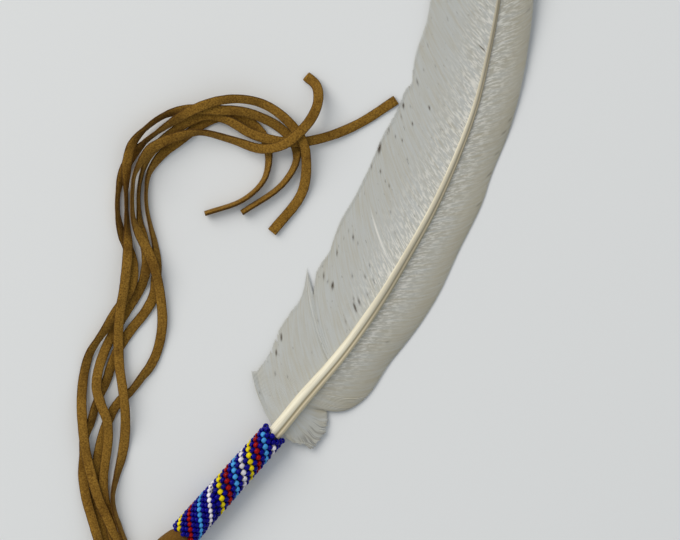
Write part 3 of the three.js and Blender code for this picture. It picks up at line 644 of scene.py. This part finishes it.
def bead_tree():
    """Puts a rounded ring bead on each point, with its hole along the point's hole direction."""
    tree, given = new_tree("Seed beads", {
        "Ring radius": "Float", "Wall radius": "Float", "Stretch": "Float", "Seed": "Int",
        "Material": "Material"})
    path, section = (
        add(tree, "GeometryNodeCurvePrimitiveCircle", {"mode": "RADIUS"}, {"Resolution": sides},
            {"Radius": given[radius]})
        for sides, radius in ((12, "Ring radius"), (8, "Wall radius")))
    ring = add(
        tree, "GeometryNodeCurveToMesh",
        links={"Curve": path.outputs[0], "Profile Curve": section.outputs[0]})
    scale = add(tree, "ShaderNodeCombineXYZ", values={0: 1.0, 1: 1.0}, links={2: given["Stretch"]})
    bead = add(tree, "GeometryNodeTransform", links={"Geometry": ring.outputs[0], "Scale": scale.outputs[0]})
    smooth = add(tree, "GeometryNodeSetShadeSmooth", links={"Geometry": bead.outputs[0]})
    hole, zone_size = (
        add(tree, "GeometryNodeInputNamedAttribute", {"data_type": "FLOAT_VECTOR"}, {"Name": name})
        for name in ("hole_way", "bead_size"))
    turn = add(
        tree, "FunctionNodeAlignRotationToVector", {"axis": "Z"}, links={"Vector": hole.outputs["Attribute"]})
    chance = add(
        tree, "FunctionNodeRandomValue", {"data_type": "FLOAT"}, {2: BEAD_SIZES[0], 3: BEAD_SIZES[1]},
        {"Seed": given["Seed"]})
    size = add(
        tree, "ShaderNodeVectorMath", {"operation": "MULTIPLY"},
        links={0: zone_size.outputs["Attribute"], 1: chance.outputs[1]})
    strung = add(
        tree, "GeometryNodeInstanceOnPoints",
        links={"Points": given["Geometry"], "Instance": smooth.outputs[0], "Rotation": turn.outputs[0],
               "Scale": size.outputs[0]})
    return close_tree(tree, strung.outputs[0], given["Material"])


def suede(name, light, dark, cut):
    """Suede: split leather with a brushed nap. It is dull and speckled, and darker where the cut attribute
    says: on the laces partly the cut edges' own colour, partly painted shade on their sides.
    """
    material, tree, surface = new_material(
        name, {"Roughness": 0.95, "Specular IOR Level": 0.06, "Sheen Weight": 0.03, "Sheen Roughness": 0.6})
    place = add(tree, "ShaderNodeTexCoord").outputs["Object"]
    # The nap's fibres are finer than a pixel, so its specks are drawn 0.6 mm across to show.
    speck = grain(tree, place, (0.6 * MM,) * 3, 3.0)
    patch = grain(tree, place, (9 * MM,) * 3, 2.0)
    edge = add(tree, "ShaderNodeAttribute", {"attribute_name": "cut"}).outputs["Fac"]
    body = tinted(tree, dark, light, speck, 0.1, 0.8)
    body = tinted(tree, body, dark, patch, 0.45, 0.75, 0.45)
    # On the laces this darkens their sides: partly the cut edges' own colour, partly painted shade on sides
    # turned from the light.
    body = tinted(tree, body, cut, edge, 0.3, 1.0, 0.75)
    tree.links.new(body, surface.inputs["Base Color"])
    bump = add(
        tree, "ShaderNodeBump", values={"Strength": 0.6, "Distance": 0.25 * MM}, links={"Height": speck})
    tree.links.new(bump.outputs[0], surface.inputs["Normal"])
    return material


def lace_section():
    """The lace's whole section, from its quarter."""
    upper = np.vstack([LACE_QUARTER, LACE_QUARTER[-2::-1] * (-1, 1, 1)])
    return np.vstack([upper, upper[-2:0:-1] * (1, -1, 1)])


def lace_mesh(name, route, look, rng):
    """A flat lace along its route, with soft corners, slightly uneven edges and bare cut ends."""
    section = lace_section()
    route = np.array(route)
    line = smooth_line(route[:, :3], LACE_SAMPLES)
    count = len(line)
    rolls = spread(np.radians(route[:, 3]), count)
    along = unit(np.gradient(line, axis=0))
    left = unit(np.stack([-along[:, 1], along[:, 0], 0 * along[:, 0]], axis=1))
    across = left * np.cos(rolls)[:, None] + np.cross(along, left) * np.sin(rolls)[:, None]
    deep = np.cross(along, across)
    drift = wander(rng, count, *LACE_WIDTH_DRIFT)
    rough = rng.uniform(-LACE_ROUGHNESS, LACE_ROUGHNESS, count)
    half_width = look.width / 2 * (1 + drift + rough)
    half_depth = look.thickness / 2 * (1 + wander(rng, count, *LACE_DEPTH_DRIFT))
    rings = line[:, None] + across[:, None] * (half_width[:, None] * section[:, 0])[..., None]
    rings = rings + deep[:, None] * (half_depth[:, None] * section[:, 1])[..., None]
    ends = [
        line[i] + (rings[i] - line[i]) * LACE_END_PINCH + way * along[i] * LACE_END_BULGE
        for i, way in ((0, -1), (-1, 1))]
    rings = np.concatenate([ends[:1], rings, ends[1:]])
    rings[..., 2] = np.maximum(rings[..., 2], TABLE_GAP)
    mesh = ring_mesh(name, rings)
    # The sides count as cut edge and are darkened: partly their own colour, partly painted shade.
    cut = np.tile(section[:, 2], (len(rings), 1))
    cut[0] = cut[-1] = 1.0
    set_attribute(mesh, "cut", "FLOAT", cut)
    return mesh, line


class SMUDGE_OT_stage(bpy.types.Operator):
    """Lays the pale floor, hangs the soft light and sets the camera over the table"""
    bl_idname = "smudge.stage"
    bl_label = "Stage"

    def execute(self, context):
        scene = context.scene
        look = scene.smudge_stage
        scene.view_settings.view_transform = "Standard"
        scene.view_settings.look = "None"

        floor_mesh = bpy.data.meshes.new("floor")
        corners = [(x * FLOOR_REACH, y * FLOOR_REACH, 0) for x, y in ((-1, -1), (1, -1), (1, 1), (-1, 1))]
        floor_mesh.from_pydata(corners, [], [(0, 1, 2, 3)])
        floor = bpy.data.objects.new("floor", floor_mesh)
        scene.collection.objects.link(floor)
        # Matt laminate: an even pale surface with almost no gloss.
        laminate = {"Base Color": tuple(look.floor), "Roughness": 0.8, "Specular IOR Level": 0.2}
        floor_mesh.materials.append(new_material("pale laminate", laminate)[0])

        world = bpy.data.worlds.new("soft room")
        world.use_nodes = True
        background = world.node_tree.nodes["Background"]
        background.inputs["Color"].default_value = linear(ROOM_TINT)
        background.inputs["Strength"].default_value = look.fill
        scene.world = world

        key = bpy.data.lights.new("soft window", "AREA")
        key.shape = "DISK"
        key.size = WINDOW_SIZE
        key.energy = look.key
        key.color = linear(WINDOW_TINT)[:3]
        lamp = bpy.data.objects.new("soft window", key)
        scene.collection.objects.link(lamp)
        lamp.location = Matrix.Rotation(FRAME_TURN, 3, "Z") @ Vector(WINDOW_PLACE)
        lamp.rotation_mode = "QUATERNION"
        lamp.rotation_quaternion = lamp.location.to_track_quat("Z", "Y")

        camera = bpy.data.objects.new("camera", bpy.data.cameras.new("camera"))
        scene.collection.objects.link(camera)
        camera.data.sensor_width = SENSOR_WIDTH
        camera.data.lens = SENSOR_WIDTH * look.distance / FRAME_WIDTH
        camera.data.clip_start, camera.data.clip_end = CAMERA_CLIP
        camera.location = (*FRAME_CENTRE, look.distance)
        camera.rotation_euler = (0.0, 0.0, FRAME_TURN)
        scene.camera = camera
        return {"FINISHED"}


class SMUDGE_OT_thongs(bpy.types.Operator):
    """Lays the five suede laces along their routes"""
    bl_idname = "smudge.thongs"
    bl_label = "Thongs"

    def execute(self, context):
        look = context.scene.smudge_thongs
        material = suede("brown suede lace", look.light, look.dark, look.cut)
        rng = np.random.default_rng(THONG_SEED)
        for node, route in THONG_ROUTES.items():
            mesh, line = lace_mesh("suede_" + node, route, look, rng)
            lace = new_piece("suede_" + node, mesh, material, "thong", node)
        return {"FINISHED"}


def handle_place():
    """The handle's own axes, with Y up its length, in the part's frame."""
    turn = Matrix.Rotation(HANDLE_YAW, 4, "Z") @ Matrix.Rotation(HANDLE_TIP, 4, "X")
    return np.array(Matrix.Translation(HANDLE_FOOT) @ turn)


def placed(points):
    """Points given in the handle's axes, in the part's frame."""
    place = handle_place()
    return points @ place[:3, :3].T + place[:3, 3]


def sleeve_radius(height):
    """Outside radius of the bead sleeve at a height over its foot."""
    return SLEEVE_FOOT_RADIUS + (SLEEVE_HEAD_RADIUS - SLEEVE_FOOT_RADIUS) * height / SLEEVE_LENGTH


def zone_places(zone):
    """Row, angle round the handle and height of each place on a zone's lattice."""
    step = (360 - zone["climb"] * zone["lean"]) / zone["round"]
    drop = zone["climb"] * zone["pitch"] / zone["round"]
    for row in range(zone["rows"][0], zone["rows"][1] + 1):
        lean = zone["lean"] * row
        for whole in range(math.ceil((-180 - lean) / step), math.floor((180 - lean) / step) + 1):
            column = whole + zone["phase"]
            yield row, math.radians(column * step + lean), zone["start"] + row * zone["pitch"] - column * drop


def bead_points(look):
    """Place, hole direction, colour and size of each bead of the gourd stitch, in the part's frame."""
    spots, holes, colours, sizes = [], [], [], []
    for zone in BEAD_ZONES:
        earlier = len(spots)
        wide, long = zone["size"]
        for row, angle, height in zone_places(zone):
            valley = max(0.0, math.cos(angle - VALLEY_TURN)) ** VALLEY_POWER
            top = SLEEVE_LENGTH - look.bead_diameter * (RIM_HEAD + VALLEY_DEPTH * valley)
            if not look.bead_diameter * RIM_FOOT <= height <= top:
                continue
            radius = sleeve_radius(height) - look.bead_diameter * wide / 2
            spot = np.array([radius * math.sin(angle), height, radius * math.cos(angle)])
            apart = [np.linalg.norm(other - spot) for other in spots]
            if min(apart[:earlier], default=1.0) < ZONE_GAP or min(apart[earlier:], default=1.0) < SEAM_GAP:
                continue
            stripe, between = divmod(row, zone["stripe"])
            striped = between == 0 and height < SLEEVE_LENGTH - PLAIN_HEAD
            name = STRIPES[(stripe + zone["first"]) % len(STRIPES)] if striped else "navy"
            spots.append(spot)
            holes.append((math.cos(angle), 0.0, -math.sin(angle)))
            colours.append(tuple(getattr(look, name)))
            sizes.append((wide, wide, long))
    spots = placed(np.array(spots))
    sizes = np.array(sizes)
    spots[:, 2] = np.maximum(spots[:, 2], sizes[:, 0] * look.bead_diameter / 2 + TABLE_GAP)
    holes = np.array(holes) @ handle_place()[:3, :3].T
    return spots, holes, colours, sizes


class SMUDGE_OT_beadwork(bpy.types.Operator):
    """Strings the seed beads round the handle over their dark thread"""
    bl_idname = "smudge.beadwork"
    bl_label = "Beadwork"

    def execute(self, context):
        look = context.scene.smudge_handle
        spots, holes, colours, sizes = bead_points(look)
        points = bpy.data.meshes.new("bead_points")
        points.from_pydata(spots.tolist(), [], [])
        set_attribute(points, "hole_way", "FLOAT_VECTOR", holes)
        set_attribute(points, "bead_colour", "FLOAT_COLOR", colours)
        set_attribute(points, "bead_size", "FLOAT_VECTOR", sizes)
        # Opaque glass seed bead: drawn, cut and fire-polished, so its round shoulders shine.
        glass, tree, surface = new_material(
            "opaque glass seed bead", {"Roughness": 0.14, "IOR": 1.5, "Specular IOR Level": 0.1})
        paint = add(tree, "ShaderNodeAttribute", {"attribute_name": "bead_colour"}).outputs["Color"]
        place = add(tree, "ShaderNodeTexCoord").outputs["Object"]
        batch = grain(tree, place, (2.4 * MM,) * 3, 0.0)
        tree.links.new(tinted(tree, paint, look.thread, batch, 0.3, 0.75, 0.3), surface.inputs["Base Color"])
        wall = (look.bead_diameter - look.bead_hole) / 4
        mesh = grown("seed_beads", points, bead_tree(), {
            "Ring radius": (look.bead_diameter + look.bead_hole) / 4, "Wall radius": wall,
            "Stretch": look.bead_length / (2 * wall), "Seed": BEAD_SEED, "Material": glass})
        new_piece("seed_beads", mesh, glass, "beads", "beadwork")

        rows = np.arange(THREAD_ENDS[0], SLEEVE_LENGTH - THREAD_ENDS[1], THREAD_STEP)
        turns = round_turns(THREAD_SIDES)
        ridge = THREAD_RIDGE * np.sin(rows / THREAD_PITCH * 2 * math.pi)
        radius = (sleeve_radius(rows) - look.bead_diameter * THREAD_DEPTH + ridge)[:, None]
        rings = np.stack([radius * np.sin(turns), rows[:, None] + 0 * turns, radius * np.cos(turns)], axis=-1)
        # Waxed nylon thread: dark turns that only show in the gaps between beads, partly the real thread and
        # partly painted shade there.
        thread, tree, surface = new_material(
            "waxed dark thread", {"Roughness": 0.6, "Specular IOR Level": 0.3})
        place = add(tree, "ShaderNodeTexCoord").outputs["Object"]
        twist = grain(tree, place, (0.5 * MM,) * 3, 1.0)
        body = tinted(tree, look.thread, look.navy, twist, 0.4, 0.7, 0.5)
        tree.links.new(body, surface.inputs["Base Color"])
        new_piece("bead_thread", ring_mesh("bead_thread", placed(rings)), thread, "beads")
        return {"FINISHED"}


class SMUDGE_OT_leather_wrap(bpy.types.Operator):
    """Wraps the quill in suede, with a flared tail that the thongs come out of"""
    bl_idname = "smudge.leather_wrap"
    bl_label = "Leather wrap"

    def execute(self, context):
        look = context.scene.smudge_handle
        profile = smooth_line(WRAP_PROFILE, WRAP_SAMPLES)
        turns = round_turns(WRAP_SIDES)
        radius, height = profile[:, :1], profile[:, 1:]
        tail = 1 - ease(height, *TAIL_ENDS)
        fold = 1 + tail * sum(size * np.sin(waves * turns + shift) for waves, shift, size in TAIL_FOLDS)
        lap = 1 + TAIL_LAP * tail * ease(turns, *LAP_START) * (1 - ease(turns, *LAP_END))
        flat = 1 - TAIL_SQUASH * (height < 0)
        rings = np.stack([
            radius * fold * lap * np.sin(turns), height + TAIL_WAVE * tail * np.sin(2 * turns),
            radius * fold * lap * flat * np.cos(turns)], axis=-1)
        mesh = ring_mesh("suede_wrap", placed(rings))
        rim = 1 - np.clip(np.abs(height - TAIL_RIM) / TAIL_RIM_REACH, 0, 1)
        set_attribute(mesh, "cut", "FLOAT", rim + 0 * turns)
        material = suede("tan suede wrap", look.suede, look.suede_dark, look.suede_dark)
        new_piece("suede_wrap", mesh, material, "leather_wrap", "leather_wrap")
        return {"FINISHED"}


class SMUDGE_OT_shaft(bpy.types.Operator):
    """Draws the quill and shaft with the groove along its upper side"""
    bl_idname = "smudge.shaft"
    bl_label = "Shaft"

    def execute(self, context):
        look = context.scene.smudge_feather
        distance = np.linspace(SHAFT_RUN[0] + QUILL_INSET, SHAFT_RUN[-1], SHAFT_RINGS)
        centre, side, half_width, half_height = shaft_at(distance)
        rng = np.random.default_rng(SHAFT_SEED)
        wide = half_width * (1 + wander(rng, len(distance), *SHAFT_DRIFT))
        rings = centre[:, None] + side[:, None] * (wide[:, None] * SHAFT_SECTION[:, 0])[..., None]
        rings[..., 2] += half_height[:, None] * SHAFT_SECTION[:, 1]
        mesh = ring_mesh("shaft", rings)
        up = np.clip(distance / SHAFT_RUN[-1], 0, 1)
        spot = np.broadcast_arrays(SHAFT_SECTION[None, :, 0], distance[:, None], up[:, None])
        set_attribute(mesh, "shaft_place", "FLOAT_VECTOR", np.stack(spot, axis=-1))
        # Feather keratin, like fingernail: smooth, creamy and a little glossy, darker in the groove.
        material, tree, surface = new_material(
            "cream keratin shaft", {"Roughness": 0.42, "IOR": 1.54, "Specular IOR Level": 0.4})
        place = add(tree, "ShaderNodeAttribute", {"attribute_name": "shaft_place"}).outputs["Vector"]
        across, _, upward = add(tree, "ShaderNodeSeparateXYZ", links={0: place}).outputs
        # Across the shaft the place is in half widths, so the fibre streaks are a fifth of one by 14 mm.
        fibre = grain(tree, place, (0.22, 14 * MM, 0), 3.0)
        # The brown is kept off the shaft's left rim, so that edge stays cream: a painted highlight where the
        # window lights it.
        rim = add(
            tree, "ShaderNodeMapRange", {"interpolation_type": "SMOOTHSTEP"},
            {"From Min": -1.0, "From Max": -0.5}, {"Value": across})
        body = tinted(tree, look.cream, look.groove, across, 0.06, 0.3)
        body = tinted(tree, body, look.tan, across, 0.38, 0.6)
        body = tinted(tree, body, look.brown, upward, 0.14, 0.33, 0.6, rim.outputs[0])
        body = tinted(tree, body, look.brown, upward, 0.55, 0.8, 0.65)
        body = tinted(tree, body, look.groove, fibre, 0.45, 0.8, 0.45)
        tree.links.new(body, surface.inputs["Base Color"])
        new_piece("shaft", mesh, material, "feather", "feather")
        return {"FINISHED"}


def barb_material(name, look):
    """Feather barbs: dry keratin strips hooked side by side. Dull, streaked along them, with dark flecks."""
    material, tree, surface = new_material(name, {"Roughness": 0.75, "Specular IOR Level": 0.25})
    place, tone = (
        add(tree, "ShaderNodeAttribute", {"attribute_name": key}).outputs["Vector"]
        for key in ("barb_place", "barb_tone"))
    mark = add(tree, "ShaderNodeAttribute", {"attribute_name": "barb_mark"}).outputs["Fac"]
    shade, down, flecked = add(tree, "ShaderNodeSeparateXYZ", links={0: tone}).outputs
    # Sizes along and across the barbs. A streak is drawn over two or three barbs, so that it shows.
    for sizes, detail, strength in (((14 * MM, 1.0 * MM, 0), 3.0, 1.8), ((30 * MM, 18 * MM, 0), 2.0, 0.7)):
        noise = grain(tree, place, sizes, detail)
        drift = add(
            tree, "ShaderNodeMath", {"operation": "MULTIPLY_ADD"}, {1: strength, 2: -strength / 2},
            {0: noise})
        shade = add(
            tree, "ShaderNodeMath", {"operation": "ADD"}, links={0: shade, 1: drift.outputs[0]}).outputs[0]
    colours = {6: tuple(look.pale), 7: tuple(look.shaded)}
    body = add(tree, "ShaderNodeMix", {"data_type": "RGBA"}, colours, {0: shade}).outputs[2]
    tuft = grain(tree, place, (3.2 * MM, 0.8 * MM, 0), 2.0)
    body = tinted(tree, body, look.fluff, tuft, 0.44, 0.64, weight=down)
    spot = grain(tree, place, (3 * MM, 1.1 * MM, 0), 1.0)
    body = tinted(tree, body, look.fleck, spot, 0.68, 0.8, weight=flecked)
    body = tinted(tree, body, look.fluff, mark, 0.0, 1.0)
    negative = add(tree, "ShaderNodeMath", {"operation": "MULTIPLY"}, {1: -1.0}, {0: mark})
    body = tinted(tree, body, look.fleck, negative.outputs[0], 0.0, 1.0)
    tree.links.new(body, surface.inputs["Base Color"])
    return material


def barb_roots(vane, count):
    """Root distances up the shaft, closer together in the stretch where the barbs fan out."""
    edge, (first, last) = vane["edge"], vane["crowded"]
    grid = np.linspace(edge[0, 2], edge[-1, 2] - TIP_TRIM, ROOT_GRID)
    crowd = np.cumsum(np.where((grid > first) & (grid < last), CROWDING, 1.0))
    return np.interp(np.linspace(crowd[0], crowd[-1], count), crowd, grid)


def vane_lines(vane, count, rng):
    """Centre lines of a vane's barbs: root on the shaft's side, bowed out to the tip on the vane's edge."""
    distance = barb_roots(vane, count)
    loose = 1 - ease(distance, vane["tuft"] - TUFT_EASE, vane["tuft"])
    centre, side, half_width, half_height = shaft_at(distance)
    root = centre + side * (vane["side"] * ROOT_OUT * half_width)[:, None]
    root[:, 2] -= ROOT_DOWN * half_height
    height = np.interp(distance, vane["heights"][:, 0], vane["heights"][:, 1])
    tip = np.column_stack([edge_at(vane["edge"], vane["corners"], distance), height])
    tip[:, 1] += wander(rng, count, *TIP_CLUMPS)
    frayed = (distance > vane["frayed"][0]) & (distance < vane["frayed"][1])
    reach = 1 - np.abs(rng.normal(0, TIP_FRAY, count)) * (1 + LOOSE_FRAY * np.maximum(loose, frayed))
    t = np.linspace(0, 1, BARB_CELLS + 1)[None, :] * reach[:, None]
    chord = tip - root
    # Both swells are 1 at their highest, half way along the barb or two thirds.
    swell = 6.75 * t ** 2 * (1 - t) if vane["late"] else 4 * t * (1 - t)
    sideways = np.stack([chord[:, 1], -chord[:, 0], 0 * chord[:, 0]], axis=1) * vane["side"] * vane["bow"]
    lines = root[:, None] + chord[:, None] * t[..., None] + sideways[:, None] * swell[..., None]
    curl = np.sin(TUFT_WAVES * 2 * math.pi * t + wander(rng, count, *TUFT_TURNS)[:, None]) * t ** 1.5
    lines += unit(sideways)[:, None] * (loose[:, None] * TUFT_CURL * curl)[..., None]
    return distance, t, lines, loose


def line_mesh(name, lines, attributes):
    """A mesh of separate lines of points, with their attributes, for a tree to thicken."""
    count, points = lines.shape[:2]
    start = (np.arange(count) * points)[:, None] + np.arange(points - 1)[None, :]
    edges = np.stack([start, start + 1], axis=-1).reshape(-1, 2)
    mesh = bpy.data.meshes.new(name)
    mesh.from_pydata(lines.reshape(-1, 3).tolist(), edges.tolist(), [])
    for key, (kind, values) in attributes.items():
        set_attribute(mesh, key, kind, values)
    return mesh


def spacing_of(lines):
    """Half the sideways distance between neighbouring barbs at each point."""
    along = unit(np.gradient(lines, axis=1))
    apart = np.gradient(lines, axis=0)
    apart = apart - along * np.sum(along * apart, axis=-1, keepdims=True)
    return np.linalg.norm(apart[..., :2], axis=-1) / 2


def marks_on(lines, run, spacing, marks):
    """Strength of the marks at each point: a mark lies along the barb nearest to its place."""
    value = np.zeros(lines.shape[:2])
    index = np.arange(len(lines))[:, None]
    for x, y, length, width, strength in marks:
        gap = np.linalg.norm(lines[..., :2] - np.array([x, y]) * MM, axis=-1)
        barb, cell = np.unravel_index(np.argmin(gap), gap.shape)
        forward = np.abs(run - run[barb, cell]) / (length * MM / 2)
        sideways = np.abs(index - barb) * 2 * spacing[barb, cell] / (width * MM / 2)
        near = np.clip(MARK_SOFTNESS - forward, 0, 1) * np.clip(MARK_SOFTNESS - sideways, 0, 1)
        value = np.where(np.abs(strength) * near > np.abs(value), strength * near, value)
    return value


def wide_tones(t, up, along):
    """Shade, white down and flecks of the wide vane's points."""
    shade = 0.13 + 0.08 * ease(-up, -60 * MM, -10 * MM) + 0.1 * t
    down = np.exp(-(along / (13 * MM)) ** 2) * ease(up, 40 * MM, 80 * MM) * 0.85
    return np.stack([shade, down, 0.4 + 0 * t], axis=-1)


def narrow_tones(t, up, along):
    """Shade, white down and flecks of the narrow vane's points, paler in the tuft at its base."""
    tuft = VANES["narrow_vane"]["tuft"]
    base = 0.3 * (1 - ease(up, 2 * MM, 6 * MM))
    pale = (0.42 - base) * (1 - ease(up, tuft - 1.5 * MM, tuft + 0.5 * MM))
    shade = 0.55 + 0.3 * ease(t, 0.3, 0.8) - pale
    down = np.exp(-(along / (10 * MM)) ** 2) * ease(up, 10 * MM, 40 * MM) * 0.85
    return np.stack([shade, down, 0.2 + 0 * t], axis=-1)


class SMUDGE_OT_vanes(bpy.types.Operator):
    """Grows the barbs of both vanes from the shaft to the vanes' edges"""
    bl_idname = "smudge.vanes"
    bl_label = "Vanes"

    def execute(self, context):
        look = context.scene.smudge_feather
        tree = barb_tree()
        material = barb_material("dry feather barbs", look)
        for name, vane in VANES.items():
            rng = np.random.default_rng(VANE_SEED + vane["side"])
            distance, t, lines, loose = vane_lines(vane, look.barbs, rng)
            along = np.linalg.norm(lines - lines[:, :1], axis=-1)
            up = distance[:, None] + 0 * t
            spacing = spacing_of(lines)
            half_width = np.clip(spacing * look.barb_overlap, FINEST_BARB, look.widest_barb)
            half_width *= 1 - TIP_NARROWING * ease(t, *TIP_TAPER)
            lines[..., 2] = np.maximum(lines[..., 2], half_width * look.barb_rise + BARB_GAP)
            tones = wide_tones(t, up, along) if vane["side"] < 0 else narrow_tones(t, up, along)
            strands = (rng.random(look.barbs) < TUFT_STRANDS) * loose * ease(distance, *STRANDS_FROM)
            brown = STRAND_BROWN * strands[:, None] * ease(t, *STRAND_PART)
            barbs = line_mesh(name, lines, {
                "half_width": ("FLOAT", half_width),
                "barb_place": ("FLOAT_VECTOR", np.stack([along, up, 0 * t], axis=-1)),
                "barb_tone": ("FLOAT_VECTOR", tones),
                "barb_mark": ("FLOAT", marks_on(lines, along, spacing, vane["marks"]) - brown),
            })
            mesh = grown(name, barbs, tree, {"Rise": look.barb_rise, "Material": material})
            new_piece(name, mesh, material, "feather", "feather")
        return {"FINISHED"}


class SMUDGE_PT_panel(bpy.types.Panel):
    """Lists the pieces of the smudge feather"""
    bl_idname = "SMUDGE_PT_panel"
    bl_label = "Smudge Feather"
    bl_space_type = "VIEW_3D"
    bl_region_type = "UI"
    bl_category = "Feather"

    def draw(self, context):
        for operator in PIECE_OPERATORS:
            self.layout.operator(operator.bl_idname)
        for group in LOOKS:
            settings = getattr(context.scene, group)
            for key in settings.bl_rna.properties.keys():
                if key not in {"rna_type", "name"}:
                    self.layout.prop(settings, key)


LOOKS = {
    "smudge_feather": FeatherLook, "smudge_handle": HandleLook, "smudge_thongs": ThongLook,
    "smudge_stage": StageLook,
}
PIECE_OPERATORS = (
    SMUDGE_OT_stage, SMUDGE_OT_thongs, SMUDGE_OT_beadwork, SMUDGE_OT_leather_wrap, SMUDGE_OT_shaft,
    SMUDGE_OT_vanes,
)
CLASSES = (*LOOKS.values(), *PIECE_OPERATORS, SMUDGE_PT_panel)


def register():
    for cls in CLASSES:
        bpy.utils.register_class(cls)
    for group, cls in LOOKS.items():
        setattr(bpy.types.Scene, group, bpy.props.PointerProperty(type=cls))


def unregister():
    for group in LOOKS:
        delattr(bpy.types.Scene, group)
    for cls in reversed(CLASSES):
        bpy.utils.unregister_class(cls)


def main():
    register()
    bpy.ops.smudge.stage()
    bpy.ops.smudge.thongs()
    bpy.ops.smudge.beadwork()
    bpy.ops.smudge.leather_wrap()
    bpy.ops.smudge.shaft()
    bpy.ops.smudge.vanes()


if __name__ == "__main__":
    main()
